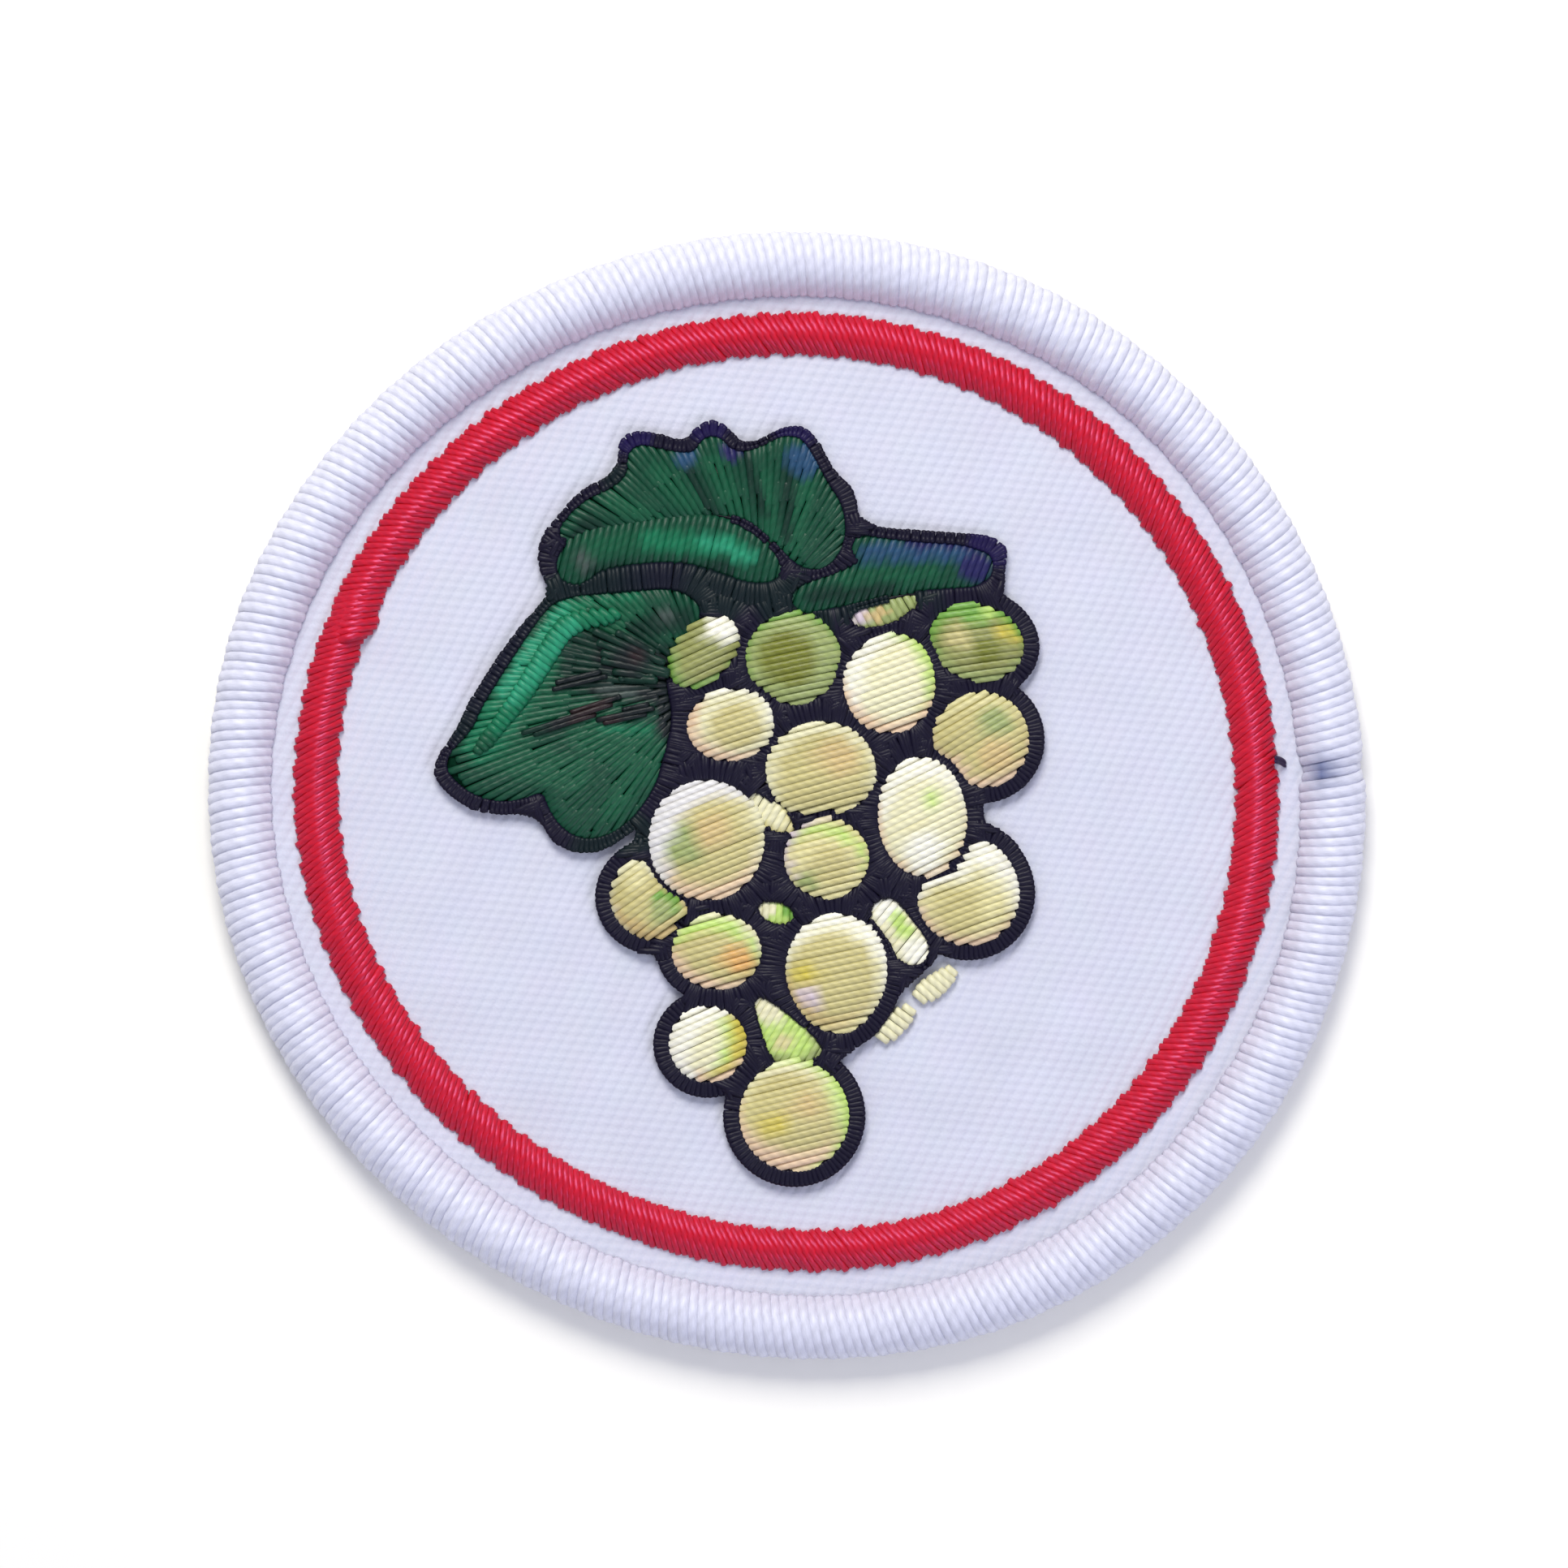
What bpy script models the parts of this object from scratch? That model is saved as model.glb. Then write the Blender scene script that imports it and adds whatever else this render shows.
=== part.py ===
"""Round embroidered patch with a bunch of grapes, in metres, lying on its back with its face up (+Z).

The origin is the middle of the flat back, +Y is the top of the picture. The layers, from the back, are the
stiff backing, the twill ground and the embroidery. The overlocked edge wraps the ground all the way round.
Each area of embroidery is a thin pad with the outline of its stitches.
"""

import math

import bmesh
import bpy
import numpy as np

MM = 0.001

# The cut shape: nearly round, a little longer along one diagonal and faintly three-sided.
PATCH_RADIUS = 25.15 * MM
LONG_SHARE = 0.016
LONG_ANGLE = math.radians(-17)
THREE_SHARE = 0.008
RIM_STEPS = 72

# Heights above the back.
LAYER_GAP = 0.05 * MM
POCKET_GAP = 0.05 * MM
BACKING_TOP = 0.45 * MM
GROUND_BOTTOM = BACKING_TOP + LAYER_GAP
GROUND_TOP = 0.9 * MM
STITCH_BOTTOM = GROUND_TOP + LAYER_GAP
EDGE_TOP = 2.3 * MM
RING_TOP = 1.6 * MM
OUTLINE_TOP = 1.5 * MM
LEAF_TOP = 1.4 * MM
OVERSTITCH_BOTTOM = LEAF_TOP + LAYER_GAP
OVERSTITCH_TOP = 1.65 * MM
SLIVER_TOP = 1.3 * MM
GRAPE_SHOULDER = 1.3 * MM
GRAPE_CROWN = 1.75 * MM

# How a grape's pad is crowned: a ring of this share of its size stands this far up from shoulder to crown.
CROWN_SHARE = 0.62
CROWN_RISE = 0.75
SHARP_ANGLE = math.radians(50)
MERGE_DISTANCE = 0.002 * MM

# Radii of the layers and of the sewn ring.
EDGE_WIDTH = 2.75 * MM
EDGE_INNER = PATCH_RADIUS - EDGE_WIDTH
BACKING_RADIUS = EDGE_INNER - 2 * LAYER_GAP
GROUND_RADIUS = 24.3 * MM
RING_INNER = 19.55 * MM
RING_OUTER = 21.25 * MM
RING_OFFSET = (0, 0.15 * MM)

# The edge's section: distance out from the middle of the patch, and height. The slot holds the ground.
EDGE_SECTION = (
    (EDGE_INNER, STITCH_BOTTOM),
    (EDGE_INNER + 0.1 * MM, 1.5 * MM),
    (EDGE_INNER + 0.6 * MM, 2.05 * MM),
    (EDGE_INNER + 1.4 * MM, EDGE_TOP),
    (EDGE_INNER + 2.15 * MM, 2.0 * MM),
    (EDGE_INNER + 2.6 * MM, 1.45 * MM),
    (PATCH_RADIUS, 0.9 * MM),
    (EDGE_INNER + 2.65 * MM, 0.35 * MM),
    (EDGE_INNER + 2.35 * MM, 0),
    (EDGE_INNER, 0),
    (EDGE_INNER, BACKING_TOP),
    (GROUND_RADIUS + LAYER_GAP, BACKING_TOP),
    (GROUND_RADIUS + LAYER_GAP, STITCH_BOTTOM),
)

# The grapes, the front ones first, because each is hidden where a grape before it lies.
# Millimetres and degrees: centre x, centre y, half width, half height, tilt, point size, point direction.
OUTLINE_WIDTH = 0.68
SEAM_WIDTH = 0.50
GRAPE_STEPS = 28
POINT_SHARPNESS = 6
SEARCH_SHARE = 1.3
SEARCH_STEPS = 81
RAY_STEPS = 400
GRAPES = {
    "grape_09": (1.77, -2.77, 1.84, 1.70, 0, 0.00, 0),
    "grape_08": (-3.50, -1.96, 2.40, 2.48, 0, 0.00, 0),
    "grape_14": (2.20, -7.65, 2.20, 2.42, 0, 0.14, -85),
    "grape_03": (4.52, 4.85, 1.98, 2.08, 0, 0.10, 65),
    "grape_10": (5.95, -0.93, 1.88, 2.58, 2, 0.04, -10),
    "grape_16": (0.35, -14.07, 2.38, 2.38, 0, 0.00, 0),
    "grape_15": (-3.44, -10.92, 1.66, 1.62, 0, 0.00, 0),
    "grape_13": (-3.00, -6.85, 1.82, 1.54, 0, 0.06, 185),
    "grape_06": (-2.45, 3.10, 1.88, 1.52, 10, 0.00, 0),
    "grape_07": (1.52, 1.12, 2.40, 2.02, 0, 0.03, 70),
    "grape_11": (7.98, -4.30, 2.20, 2.20, 0, 0.08, 75),
    "grape_05": (8.62, 2.45, 1.98, 2.04, 0, 0.10, 175),
    "grape_02": (0.30, 6.00, 2.03, 1.97, 0, 0.04, 20),
    "grape_04": (8.33, 6.72, 2.08, 1.62, -15, 0.00, 0),
    "grape_12": (-5.75, -4.45, 1.90, 1.80, 0, 0.00, 0),
    "grape_01": (-3.60, 6.30, 1.80, 1.15, 48, 0.00, 0),
}

# Outlines in millimetres, each with only the corners that its shape needs. ROUND_CUTS softens them.
ROUND_CUTS = 1
LEAVES = {
    "leaf_upper": (
        (-9.9, 11.3), (-8.9, 12.6), (-7.3, 13.3), (-6.6, 14.1), (-6.7, 15.2), (-5.2, 14.8), (-3.9, 14.7),
        (-3.3, 15.7), (-2.5, 14.8), (-1.4, 14.8), (0.3, 15.7), (1.0, 14.6), (1.5, 13.6), (2.2, 12.6),
        (2.3, 11.2), (1.6, 10.2), (0.7, 10.3), (-0.3, 11.4), (-1.6, 12.5), (-3.2, 12.8), (-5.4, 12.5),
        (-7.6, 12.2), (-9.2, 11.9),
    ),
    "leaf_fold": (
        (-9.8, 9.7), (-9.7, 10.6), (-8.7, 11.4), (-6.5, 11.7), (-4.2, 12.0), (-2.6, 11.8), (-1.2, 11.0),
        (-0.3, 9.8), (-1.4, 9.6), (-2.8, 10.1), (-4.6, 10.6), (-6.6, 10.5), (-8.3, 10.2), (-9.1, 9.5),
    ),
    "leaf_lower": (
        (-9.9, 8.4), (-10.8, 7.3), (-12.3, 5.0), (-13.1, 3.7), (-13.5, 2.7), (-14.7, 1.5), (-14.4, 0.9),
        (-13.4, 0.2), (-12.1, 0.0), (-10.5, 0.6), (-10.0, -0.8), (-9.1, -1.6), (-8.0, -1.5), (-7.0, -0.8),
        (-6.1, 0.4), (-5.7, 1.8), (-5.3, 3.4), (-5.6, 4.8), (-5.6, 6.2), (-4.3, 7.6), (-4.0, 8.2),
        (-5.0, 8.8), (-7.0, 8.6),
    ),
    "stem": (
        (2.9, 11.2), (4.6, 10.9), (8.8, 10.6), (8.7, 9.5), (6.6, 9.4), (4.6, 9.2), (2.8, 8.7), (0.6, 8.3),
        (0.5, 8.9), (2.4, 9.5), (3.7, 10.1),
    ),
}
OVERSTITCHING = {
    "leaf_edge_light": (
        (-13.9, 1.9), (-12.6, 3.6), (-11.6, 5.2), (-10.6, 6.9), (-9.8, 8.0), (-7.2, 8.2), (-7.4, 7.6),
        (-9.3, 7.3), (-10.2, 5.9), (-11.2, 4.3), (-12.3, 3.0), (-13.3, 1.8),
    ),
    "leaf_base_shade": ((-8.1, 6.8), (-6.6, 7.1), (-5.9, 6.4), (-6.0, 5.3), (-6.8, 4.9), (-7.8, 5.6)),
    "vein_middle": ((-7.4, 4.5), (-9.2, 3.7), (-12.3, 2.5), (-9.4, 3.0), (-7.6, 4.0)),
    "vein_upper": ((-8.1, 5.5), (-9.2, 5.3), (-10.5, 4.7), (-9.2, 4.8), (-8.1, 5.1)),
    "vein_lower": ((-6.0, 4.2), (-7.4, 3.6), (-8.7, 3.3), (-7.2, 3.2), (-6.0, 3.6)),
}
SLIVERS = {
    "sliver_leafward": ((2.9, 7.9), (3.9, 8.2), (6.0, 8.7), (5.0, 7.9), (4.0, 7.5), (3.1, 7.5)),
    "sliver_middle": ((-1.6, 0.2), (-0.9, -0.3), (0.0, -0.9), (0.3, -1.4), (-0.3, -1.6), (-0.9, -1.1)),
    "sliver_small": ((-1.2, -4.8), (-0.3, -4.8), (0.4, -5.3), (-0.2, -5.6), (-1.0, -5.3)),
    "sliver_right": (
        (3.6, -5.1), (4.6, -4.5), (5.3, -5.4), (6.3, -6.7), (5.8, -7.4), (5.0, -7.2), (4.6, -6.2),
    ),
    "sliver_tail": ((-1.4, -8.8), (-0.4, -9.4), (1.6, -11.1), (1.2, -11.5), (-0.5, -11.7), (-1.0, -10.2)),
}
LOOSE_FILL = {
    "loose_fill_upper": ((5.7, -8.7), (6.2, -8.3), (7.3, -7.6), (7.1, -8.2), (6.2, -8.9)),
    "loose_fill_lower": ((4.0, -10.4), (4.4, -9.9), (5.5, -9.3), (5.3, -9.9), (4.4, -10.7)),
}

# The outer edge of the dark outline round the leaves and the stem. Its lower side is under the grapes.
LEAF_SILHOUETTE = (
    (-10.4, 9.2), (-10.9, 10.2), (-10.7, 11.4), (-9.9, 12.3), (-9.1, 13.3), (-7.3, 14.2), (-7.3, 15.9),
    (-5.8, 15.9), (-4.4, 15.4), (-3.9, 16.2), (-3.2, 16.5), (-2.6, 16.1), (-1.8, 15.2), (0.2, 16.3),
    (1.2, 15.9), (2.0, 14.2), (3.0, 13.4), (3.1, 11.8), (6.5, 11.5), (9.7, 11.3), (9.5, 9.6), (9.3, 7.6),
    (4.5, 7.9), (-1.5, 7.0), (-3.2, 6.2), (-3.4, 3.4), (-4.6, 1.2), (-5.8, -0.6), (-7.0, -1.7),
    (-8.1, -2.4), (-9.2, -2.5), (-10.3, -2.0), (-10.9, -0.7), (-13.4, -0.8), (-14.9, 0.1), (-15.6, 1.2),
    (-14.3, 3.0), (-13.9, 4.1), (-11.9, 7.1), (-10.4, 8.7),
)
# Dark underlay between the lower grapes, so that the outline is one net.
LOWER_WEB = (
    (-1.5, -4.3), (4.5, -3.5), (7.2, -6.6), (4.6, -8.9), (2.0, -12.2), (-1.8, -11.5), (-2.0, -8.0),
)

# Colours and finishes.
WHITE_THREAD = (0.82, 0.82, 0.90)
PALE_TWILL = (0.68, 0.69, 0.79)
STIFF_BACKING = (0.75, 0.74, 0.72)
RED_THREAD = (0.58, 0.006, 0.015)
NAVY_THREAD = (0.007, 0.006, 0.022)
DARK_GREEN = (0.008, 0.075, 0.04)
MID_GREEN = (0.013, 0.16, 0.075)
LIGHT_GREEN = (0.03, 0.32, 0.17)
BROWN_THREAD = (0.025, 0.012, 0.012)
KHAKI_THREAD = (0.56, 0.50, 0.22)
OLIVE_THREAD = (0.34, 0.36, 0.09)
CREAM_THREAD = (0.86, 0.86, 0.60)
THREAD_ROUGHNESS = 0.45
CLOTH_ROUGHNESS = 0.85
OLIVE_GRAPES = ("grape_01", "grape_02", "grape_04", "grape_12")
CREAM_GRAPES = ("grape_03", "grape_06", "grape_15")


def clear_scene():
    for obj in list(bpy.data.objects):
        bpy.data.objects.remove(obj, do_unlink=True)


def make_collection(name, hidden=False):
    collection = bpy.data.collections.new(name)
    bpy.context.scene.collection.children.link(collection)
    collection.hide_render = hidden
    return collection


def make_material(name, colour, roughness):
    material = bpy.data.materials.new(name)
    material.use_nodes = True
    shader = material.node_tree.nodes["Principled BSDF"]
    shader.inputs["Base Color"].default_value = (*colour, 1)
    shader.inputs["Roughness"].default_value = roughness
    shader.inputs["Metallic"].default_value = 0
    return material


def rim(radius, steps=RIM_STEPS):
    """Points of the cut shape at this mean radius, counter-clockwise, their box centred on the origin."""
    angles = np.linspace(0, 2 * math.pi, steps, endpoint=False)
    long_way = LONG_SHARE * np.cos(2 * (angles - LONG_ANGLE))
    three_way = THREE_SHARE * np.cos(3 * angles)
    reach = radius * (1 + long_way - three_way)
    points = np.column_stack([reach * np.cos(angles), reach * np.sin(angles)])
    return points - (points.max(axis=0) + points.min(axis=0)) / 2


def rounded(corners, cuts=ROUND_CUTS):
    """The outline in metres with its corners cut this many times, a quarter of the way along each side."""
    points = np.array(corners) * MM
    for _ in range(cuts):
        following = np.roll(points, -1, axis=0)
        points = np.stack([0.75 * points + 0.25 * following, 0.25 * points + 0.75 * following], axis=1)
        points = points.reshape(-1, 2)
    return points


def grape_reach(grape, directions, grown=0.0):
    """Distance in millimetres from a grape's centre to its edge, along each direction in radians."""
    _, _, half_width, half_height, tilt, point, point_way = grape
    turned = directions - math.radians(tilt)
    ellipse = 1 / np.hypot(np.cos(turned) / (half_width + grown), np.sin(turned) / (half_height + grown))
    towards = np.clip(np.cos(directions - math.radians(point_way)), 0, 1)
    return ellipse * (1 + point * towards**POINT_SHARPNESS)


def in_grape(grape, points, grown=0.0):
    offset = points - np.array(grape[:2])
    directions = np.arctan2(offset[..., 1], offset[..., 0])
    return np.hypot(offset[..., 0], offset[..., 1]) < grape_reach(grape, directions, grown)


def is_seen(grape, in_front, points):
    """Whether each point is on the grape and clear of the seams round the grapes in front of it."""
    seen = in_grape(grape, points)
    for other in in_front:
        seen &= ~in_grape(other, points, SEAM_WIDTH)
    return seen


def grape_outline(grape, in_front, steps=GRAPE_STEPS):
    """The seen part of a grape: rays from the middle of that part stop where they leave it."""
    reach = max(grape[2:4]) * SEARCH_SHARE
    line = np.linspace(-reach, reach, SEARCH_STEPS)
    grid = np.stack(np.meshgrid(line, line), axis=-1) + np.array(grape[:2])
    middle = grid[is_seen(grape, in_front, grid)].mean(axis=0)
    angles = np.linspace(0, 2 * math.pi, steps, endpoint=False)
    distances = np.linspace(0, 2 * reach, RAY_STEPS)
    ways = np.column_stack([np.cos(angles), np.sin(angles)])
    seen = is_seen(grape, in_front, middle + distances[None, :, None] * ways[:, None, :])
    ends = distances[np.argmin(seen, axis=1)]
    return (middle + ends[:, None] * ways) * MM


def grown_grape(grape, grown, steps=GRAPE_STEPS):
    """The whole grape and this many millimetres round it."""
    angles = np.linspace(0, 2 * math.pi, steps, endpoint=False)
    reach = grape_reach(grape, angles, grown)
    points = np.column_stack([reach * np.cos(angles), reach * np.sin(angles)])
    return (points + np.array(grape[:2])) * MM


def grown_outline(points, distance):
    """The outline moved outwards along the mean of its sides' normals, and made counter-clockwise."""
    following = np.roll(points, -1, axis=0)
    area = np.sum(points[:, 0] * following[:, 1] - following[:, 0] * points[:, 1])
    if area < 0:
        points = points[::-1]
    sides = np.roll(points, -1, axis=0) - points
    normals = np.column_stack([sides[:, 1], -sides[:, 0]])
    normals /= np.linalg.norm(normals, axis=1, keepdims=True)
    mean = normals + np.roll(normals, 1, axis=0)
    mean /= np.linalg.norm(mean, axis=1, keepdims=True)
    return points + distance * mean


def flat_pad(name, loops, bottom, top, collection):
    """A 2D curve filled between its loops and extruded from bottom to top, made a mesh."""
    curve = bpy.data.curves.new(name, "CURVE")
    curve.dimensions = "2D"
    curve.fill_mode = "BOTH"
    curve.extrude = (top - bottom) / 2
    for loop in loops:
        spline = curve.splines.new("POLY")
        spline.points.add(len(loop) - 1)
        flat = np.zeros((len(loop), 1))
        spline.points.foreach_set("co", np.hstack([loop, flat, flat + 1]).ravel())
        spline.use_cyclic_u = True
    guide = bpy.data.objects.new(name + "_curve", curve)
    guide.location.z = (top + bottom) / 2
    collection.objects.link(guide)
    return curve_to_mesh(name, guide, collection)


def curve_to_mesh(name, guide, collection):
    bpy.context.view_layer.update()
    graph = bpy.context.evaluated_depsgraph_get()
    mesh = bpy.data.meshes.new_from_object(guide.evaluated_get(graph))
    shape = bmesh.new()
    shape.from_mesh(mesh)
    bmesh.ops.remove_doubles(shape, verts=shape.verts, dist=MERGE_DISTANCE)
    bmesh.ops.recalc_face_normals(shape, faces=shape.faces)
    shape.to_mesh(mesh)
    shape.free()
    obj = bpy.data.objects.new(name, mesh)
    obj.matrix_world = guide.matrix_world.copy()
    collection.objects.link(obj)
    bpy.data.objects.remove(guide, do_unlink=True)
    return obj


def crowned_pad(name, loop, bottom, shoulder, crown, collection):
    """A disc of stitches: the outline raised to a shoulder, drawn in and up, and closed to a point."""
    middle_x, middle_y = loop.mean(axis=0)
    shape = bmesh.new()
    made = bmesh.ops.create_circle(shape, cap_ends=True, segments=len(loop), radius=MM)
    for vert, (x, y) in zip(made["verts"], loop):
        vert.co = (x, y, bottom)
    shape.faces.ensure_lookup_table()
    base = top = shape.faces[0]
    near_crown = shoulder + (crown - shoulder) * CROWN_RISE
    for height, share in ((shoulder, 1), (near_crown, CROWN_SHARE)):
        raised = bmesh.ops.extrude_face_region(shape, geom=[top])["geom"]
        if top is not base:
            shape.faces.remove(top)
        top = next(item for item in raised if isinstance(item, bmesh.types.BMFace))
        for vert in top.verts:
            vert.co.x = middle_x + (vert.co.x - middle_x) * share
            vert.co.y = middle_y + (vert.co.y - middle_y) * share
            vert.co.z = height
    poked = bmesh.ops.poke(shape, faces=[top])
    poked["verts"][0].co.z = crown
    bmesh.ops.recalc_face_normals(shape, faces=shape.faces)
    mesh = bpy.data.meshes.new(name)
    shape.to_mesh(mesh)
    shape.free()
    mesh.shade_smooth()
    mesh.set_sharp_from_angle(angle=SHARP_ANGLE)
    obj = bpy.data.objects.new(name, mesh)
    collection.objects.link(obj)
    return obj


def wrapped_edge(name, collection):
    """The overlocked edge: a section with a slot for the ground, carried round the rim."""
    middle = (EDGE_INNER + PATCH_RADIUS) / 2
    profile = bpy.data.curves.new(name + "_profile", "CURVE")
    profile.dimensions = "2D"
    spline = profile.splines.new("POLY")
    spline.points.add(len(EDGE_SECTION) - 1)
    for point, (out, height) in zip(spline.points, EDGE_SECTION):
        point.co = (out - middle, height, 0, 1)
    spline.use_cyclic_u = True
    profile_guide = bpy.data.objects.new(name + "_profile", profile)
    collection.objects.link(profile_guide)
    path = bpy.data.curves.new(name, "CURVE")
    path.dimensions = "3D"
    path.twist_mode = "Z_UP"
    path.bevel_mode = "OBJECT"
    path.bevel_object = profile_guide
    loop = rim(middle)
    spline = path.splines.new("POLY")
    spline.points.add(len(loop) - 1)
    for point, (x, y) in zip(spline.points, loop):
        point.co = (x, y, 0, 1)
    spline.use_cyclic_u = True
    guide = bpy.data.objects.new(name + "_path", path)
    collection.objects.link(guide)
    obj = curve_to_mesh(name, guide, collection)
    bpy.data.objects.remove(profile_guide, do_unlink=True)
    obj.data.shade_smooth()
    obj.data.set_sharp_from_angle(angle=SHARP_ANGLE)
    return obj


def add_boolean(obj, operation, collection):
    modifier = obj.modifiers.new(operation.title(), "BOOLEAN")
    modifier.operation = operation
    modifier.operand_type = "COLLECTION"
    modifier.collection = collection
    modifier.solver = "EXACT"


def finish(obj, material):
    obj.data.materials.clear()
    obj.data.materials.append(material)
    return obj


def build_layers(parts):
    finish(
        flat_pad("backing_stabiliser", [rim(BACKING_RADIUS)], 0, BACKING_TOP, parts),
        make_material("stiff_backing", STIFF_BACKING, CLOTH_ROUGHNESS),
    )
    finish(
        flat_pad("ground_twill", [rim(GROUND_RADIUS)], GROUND_BOTTOM, GROUND_TOP, parts),
        make_material("pale_twill", PALE_TWILL, CLOTH_ROUGHNESS),
    )
    finish(
        wrapped_edge("border_overlock", parts),
        make_material("white_thread", WHITE_THREAD, THREAD_ROUGHNESS),
    )
    ring_loops = [rim(radius) + RING_OFFSET for radius in (RING_INNER, RING_OUTER)]
    finish(
        flat_pad("red_ring", ring_loops, STITCH_BOTTOM, RING_TOP, parts),
        make_material("red_thread", RED_THREAD, THREAD_ROUGHNESS),
    )


def build_grapes(parts):
    """One crowned pad for each grape. Returns their outlines."""
    colours = {"khaki_thread": KHAKI_THREAD, "olive_thread": OLIVE_THREAD, "cream_thread": CREAM_THREAD}
    materials = {name: make_material(name, colour, THREAD_ROUGHNESS) for name, colour in colours.items()}
    outlines = []
    in_front = []
    for name, grape in GRAPES.items():
        outline = grape_outline(grape, in_front)
        thread = "olive_thread" if name in OLIVE_GRAPES else "khaki_thread"
        if name in CREAM_GRAPES:
            thread = "cream_thread"
        pad = crowned_pad(name, outline, STITCH_BOTTOM, GRAPE_SHOULDER, GRAPE_CROWN, parts)
        finish(pad, materials[thread])
        outlines.append(outline)
        in_front.append(grape)
    return outlines


def build_flat_areas(parts):
    """The leaves, the stem and the slivers of fill. Returns the outlines that the dark net goes round."""
    dark = make_material("dark_green_thread", DARK_GREEN, THREAD_ROUGHNESS)
    middle = make_material("mid_green_thread", MID_GREEN, THREAD_ROUGHNESS)
    light = make_material("light_green_thread", LIGHT_GREEN, THREAD_ROUGHNESS)
    brown = make_material("brown_thread", BROWN_THREAD, THREAD_ROUGHNESS)
    pale = make_material("pale_thread", CREAM_THREAD, THREAD_ROUGHNESS)
    outlines = []
    for name, corners in LEAVES.items():
        outline = rounded(corners)
        finish(
            flat_pad(name, [outline], STITCH_BOTTOM, LEAF_TOP, parts),
            middle if name == "leaf_fold" else dark,
        )
        outlines.append(outline)
    for name, corners in OVERSTITCHING.items():
        finish(
            flat_pad(name, [rounded(corners)], OVERSTITCH_BOTTOM, OVERSTITCH_TOP, parts),
            light if name == "leaf_edge_light" else brown,
        )
    for name, corners in SLIVERS.items():
        outline = rounded(corners)
        finish(flat_pad(name, [outline], STITCH_BOTTOM, SLIVER_TOP, parts), pale)
        outlines.append(outline)
    for name, corners in LOOSE_FILL.items():
        finish(flat_pad(name, [rounded(corners)], STITCH_BOTTOM, SLIVER_TOP, parts), pale)
    return outlines


def build_outline(parts, cutters, outlines):
    """The dark net: all that is round the grapes and leaves, less a pocket for each area in it."""
    added = make_collection("outline_added", hidden=True)
    for name, grape in GRAPES.items():
        loop = grown_grape(grape, OUTLINE_WIDTH)
        flat_pad("round_" + name, [loop], STITCH_BOTTOM, OUTLINE_TOP, added)
    flat_pad("lower_web", [rounded(LOWER_WEB)], STITCH_BOTTOM, OUTLINE_TOP, added)
    net = flat_pad("outline_navy", [rounded(LEAF_SILHOUETTE)], STITCH_BOTTOM, OUTLINE_TOP, parts)
    for number, outline in enumerate(outlines):
        pocket = grown_outline(outline, POCKET_GAP)
        bottom, top = STITCH_BOTTOM - LAYER_GAP, OUTLINE_TOP + LAYER_GAP
        flat_pad(f"pocket_{number}", [pocket], bottom, top, cutters)
    for helper in (*added.objects, *cutters.objects):
        helper.hide_render = True
        helper.display_type = "WIRE"
    add_boolean(net, "UNION", added)
    add_boolean(net, "DIFFERENCE", cutters)
    finish(net, make_material("navy_thread", NAVY_THREAD, THREAD_ROUGHNESS))


def build():
    clear_scene()
    parts = make_collection("embroidered_patch")
    cutters = make_collection("cutters", hidden=True)
    build_layers(parts)
    outlines = build_grapes(parts) + build_flat_areas(parts)
    build_outline(parts, cutters, outlines)


build()
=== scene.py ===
# %% [markdown]
# # A round embroidered patch, stitch by stitch
#
# The patch is a disc of twill cloth on a stiff backing. Its edge is wrapped in white overlock thread, a
# ring of red satin stitch runs inside the edge, and a bunch of grapes with two leaves and a cut stem is
# embroidered in the middle. The model below lays every visible thread as its own small tube, because an
# embroidered surface gets its whole look from many round, shiny threads that lie side by side and catch the
# light in turn.
#
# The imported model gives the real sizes. It is loaded first, and everything else takes its place from it.
# Lengths in this script are in millimetres until a mesh is made, because a thread is a third of one wide.

import math

import bpy
import numpy as np
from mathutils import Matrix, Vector
from mathutils.geometry import tessellate_polygon


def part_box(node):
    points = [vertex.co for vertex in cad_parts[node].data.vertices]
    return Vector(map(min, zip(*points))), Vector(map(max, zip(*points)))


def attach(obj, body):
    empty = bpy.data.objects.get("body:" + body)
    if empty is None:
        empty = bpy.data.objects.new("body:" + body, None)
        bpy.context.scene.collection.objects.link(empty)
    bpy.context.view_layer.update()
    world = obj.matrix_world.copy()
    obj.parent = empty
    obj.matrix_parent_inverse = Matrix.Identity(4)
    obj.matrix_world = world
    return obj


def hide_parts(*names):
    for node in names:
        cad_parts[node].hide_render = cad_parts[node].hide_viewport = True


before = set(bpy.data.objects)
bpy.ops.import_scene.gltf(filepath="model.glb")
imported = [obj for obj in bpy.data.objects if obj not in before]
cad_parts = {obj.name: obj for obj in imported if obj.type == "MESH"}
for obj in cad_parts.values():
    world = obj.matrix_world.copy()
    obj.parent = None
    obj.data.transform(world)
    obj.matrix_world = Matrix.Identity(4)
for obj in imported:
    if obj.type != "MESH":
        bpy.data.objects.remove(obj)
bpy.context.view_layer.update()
MM = 0.001
rng = np.random.default_rng(50)

# %% [markdown]
# ## Camera, light and floor
#
# The patch lies flat and is looked at from straight above through a long lens, so that its round outline
# isn't distorted. One broad lamp beyond its upper edge makes the threads shine on the side that faces it
# and gives the soft shadow below the lower edge. A bright, even sky fills the rest in, as a light tent
# does.

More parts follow.
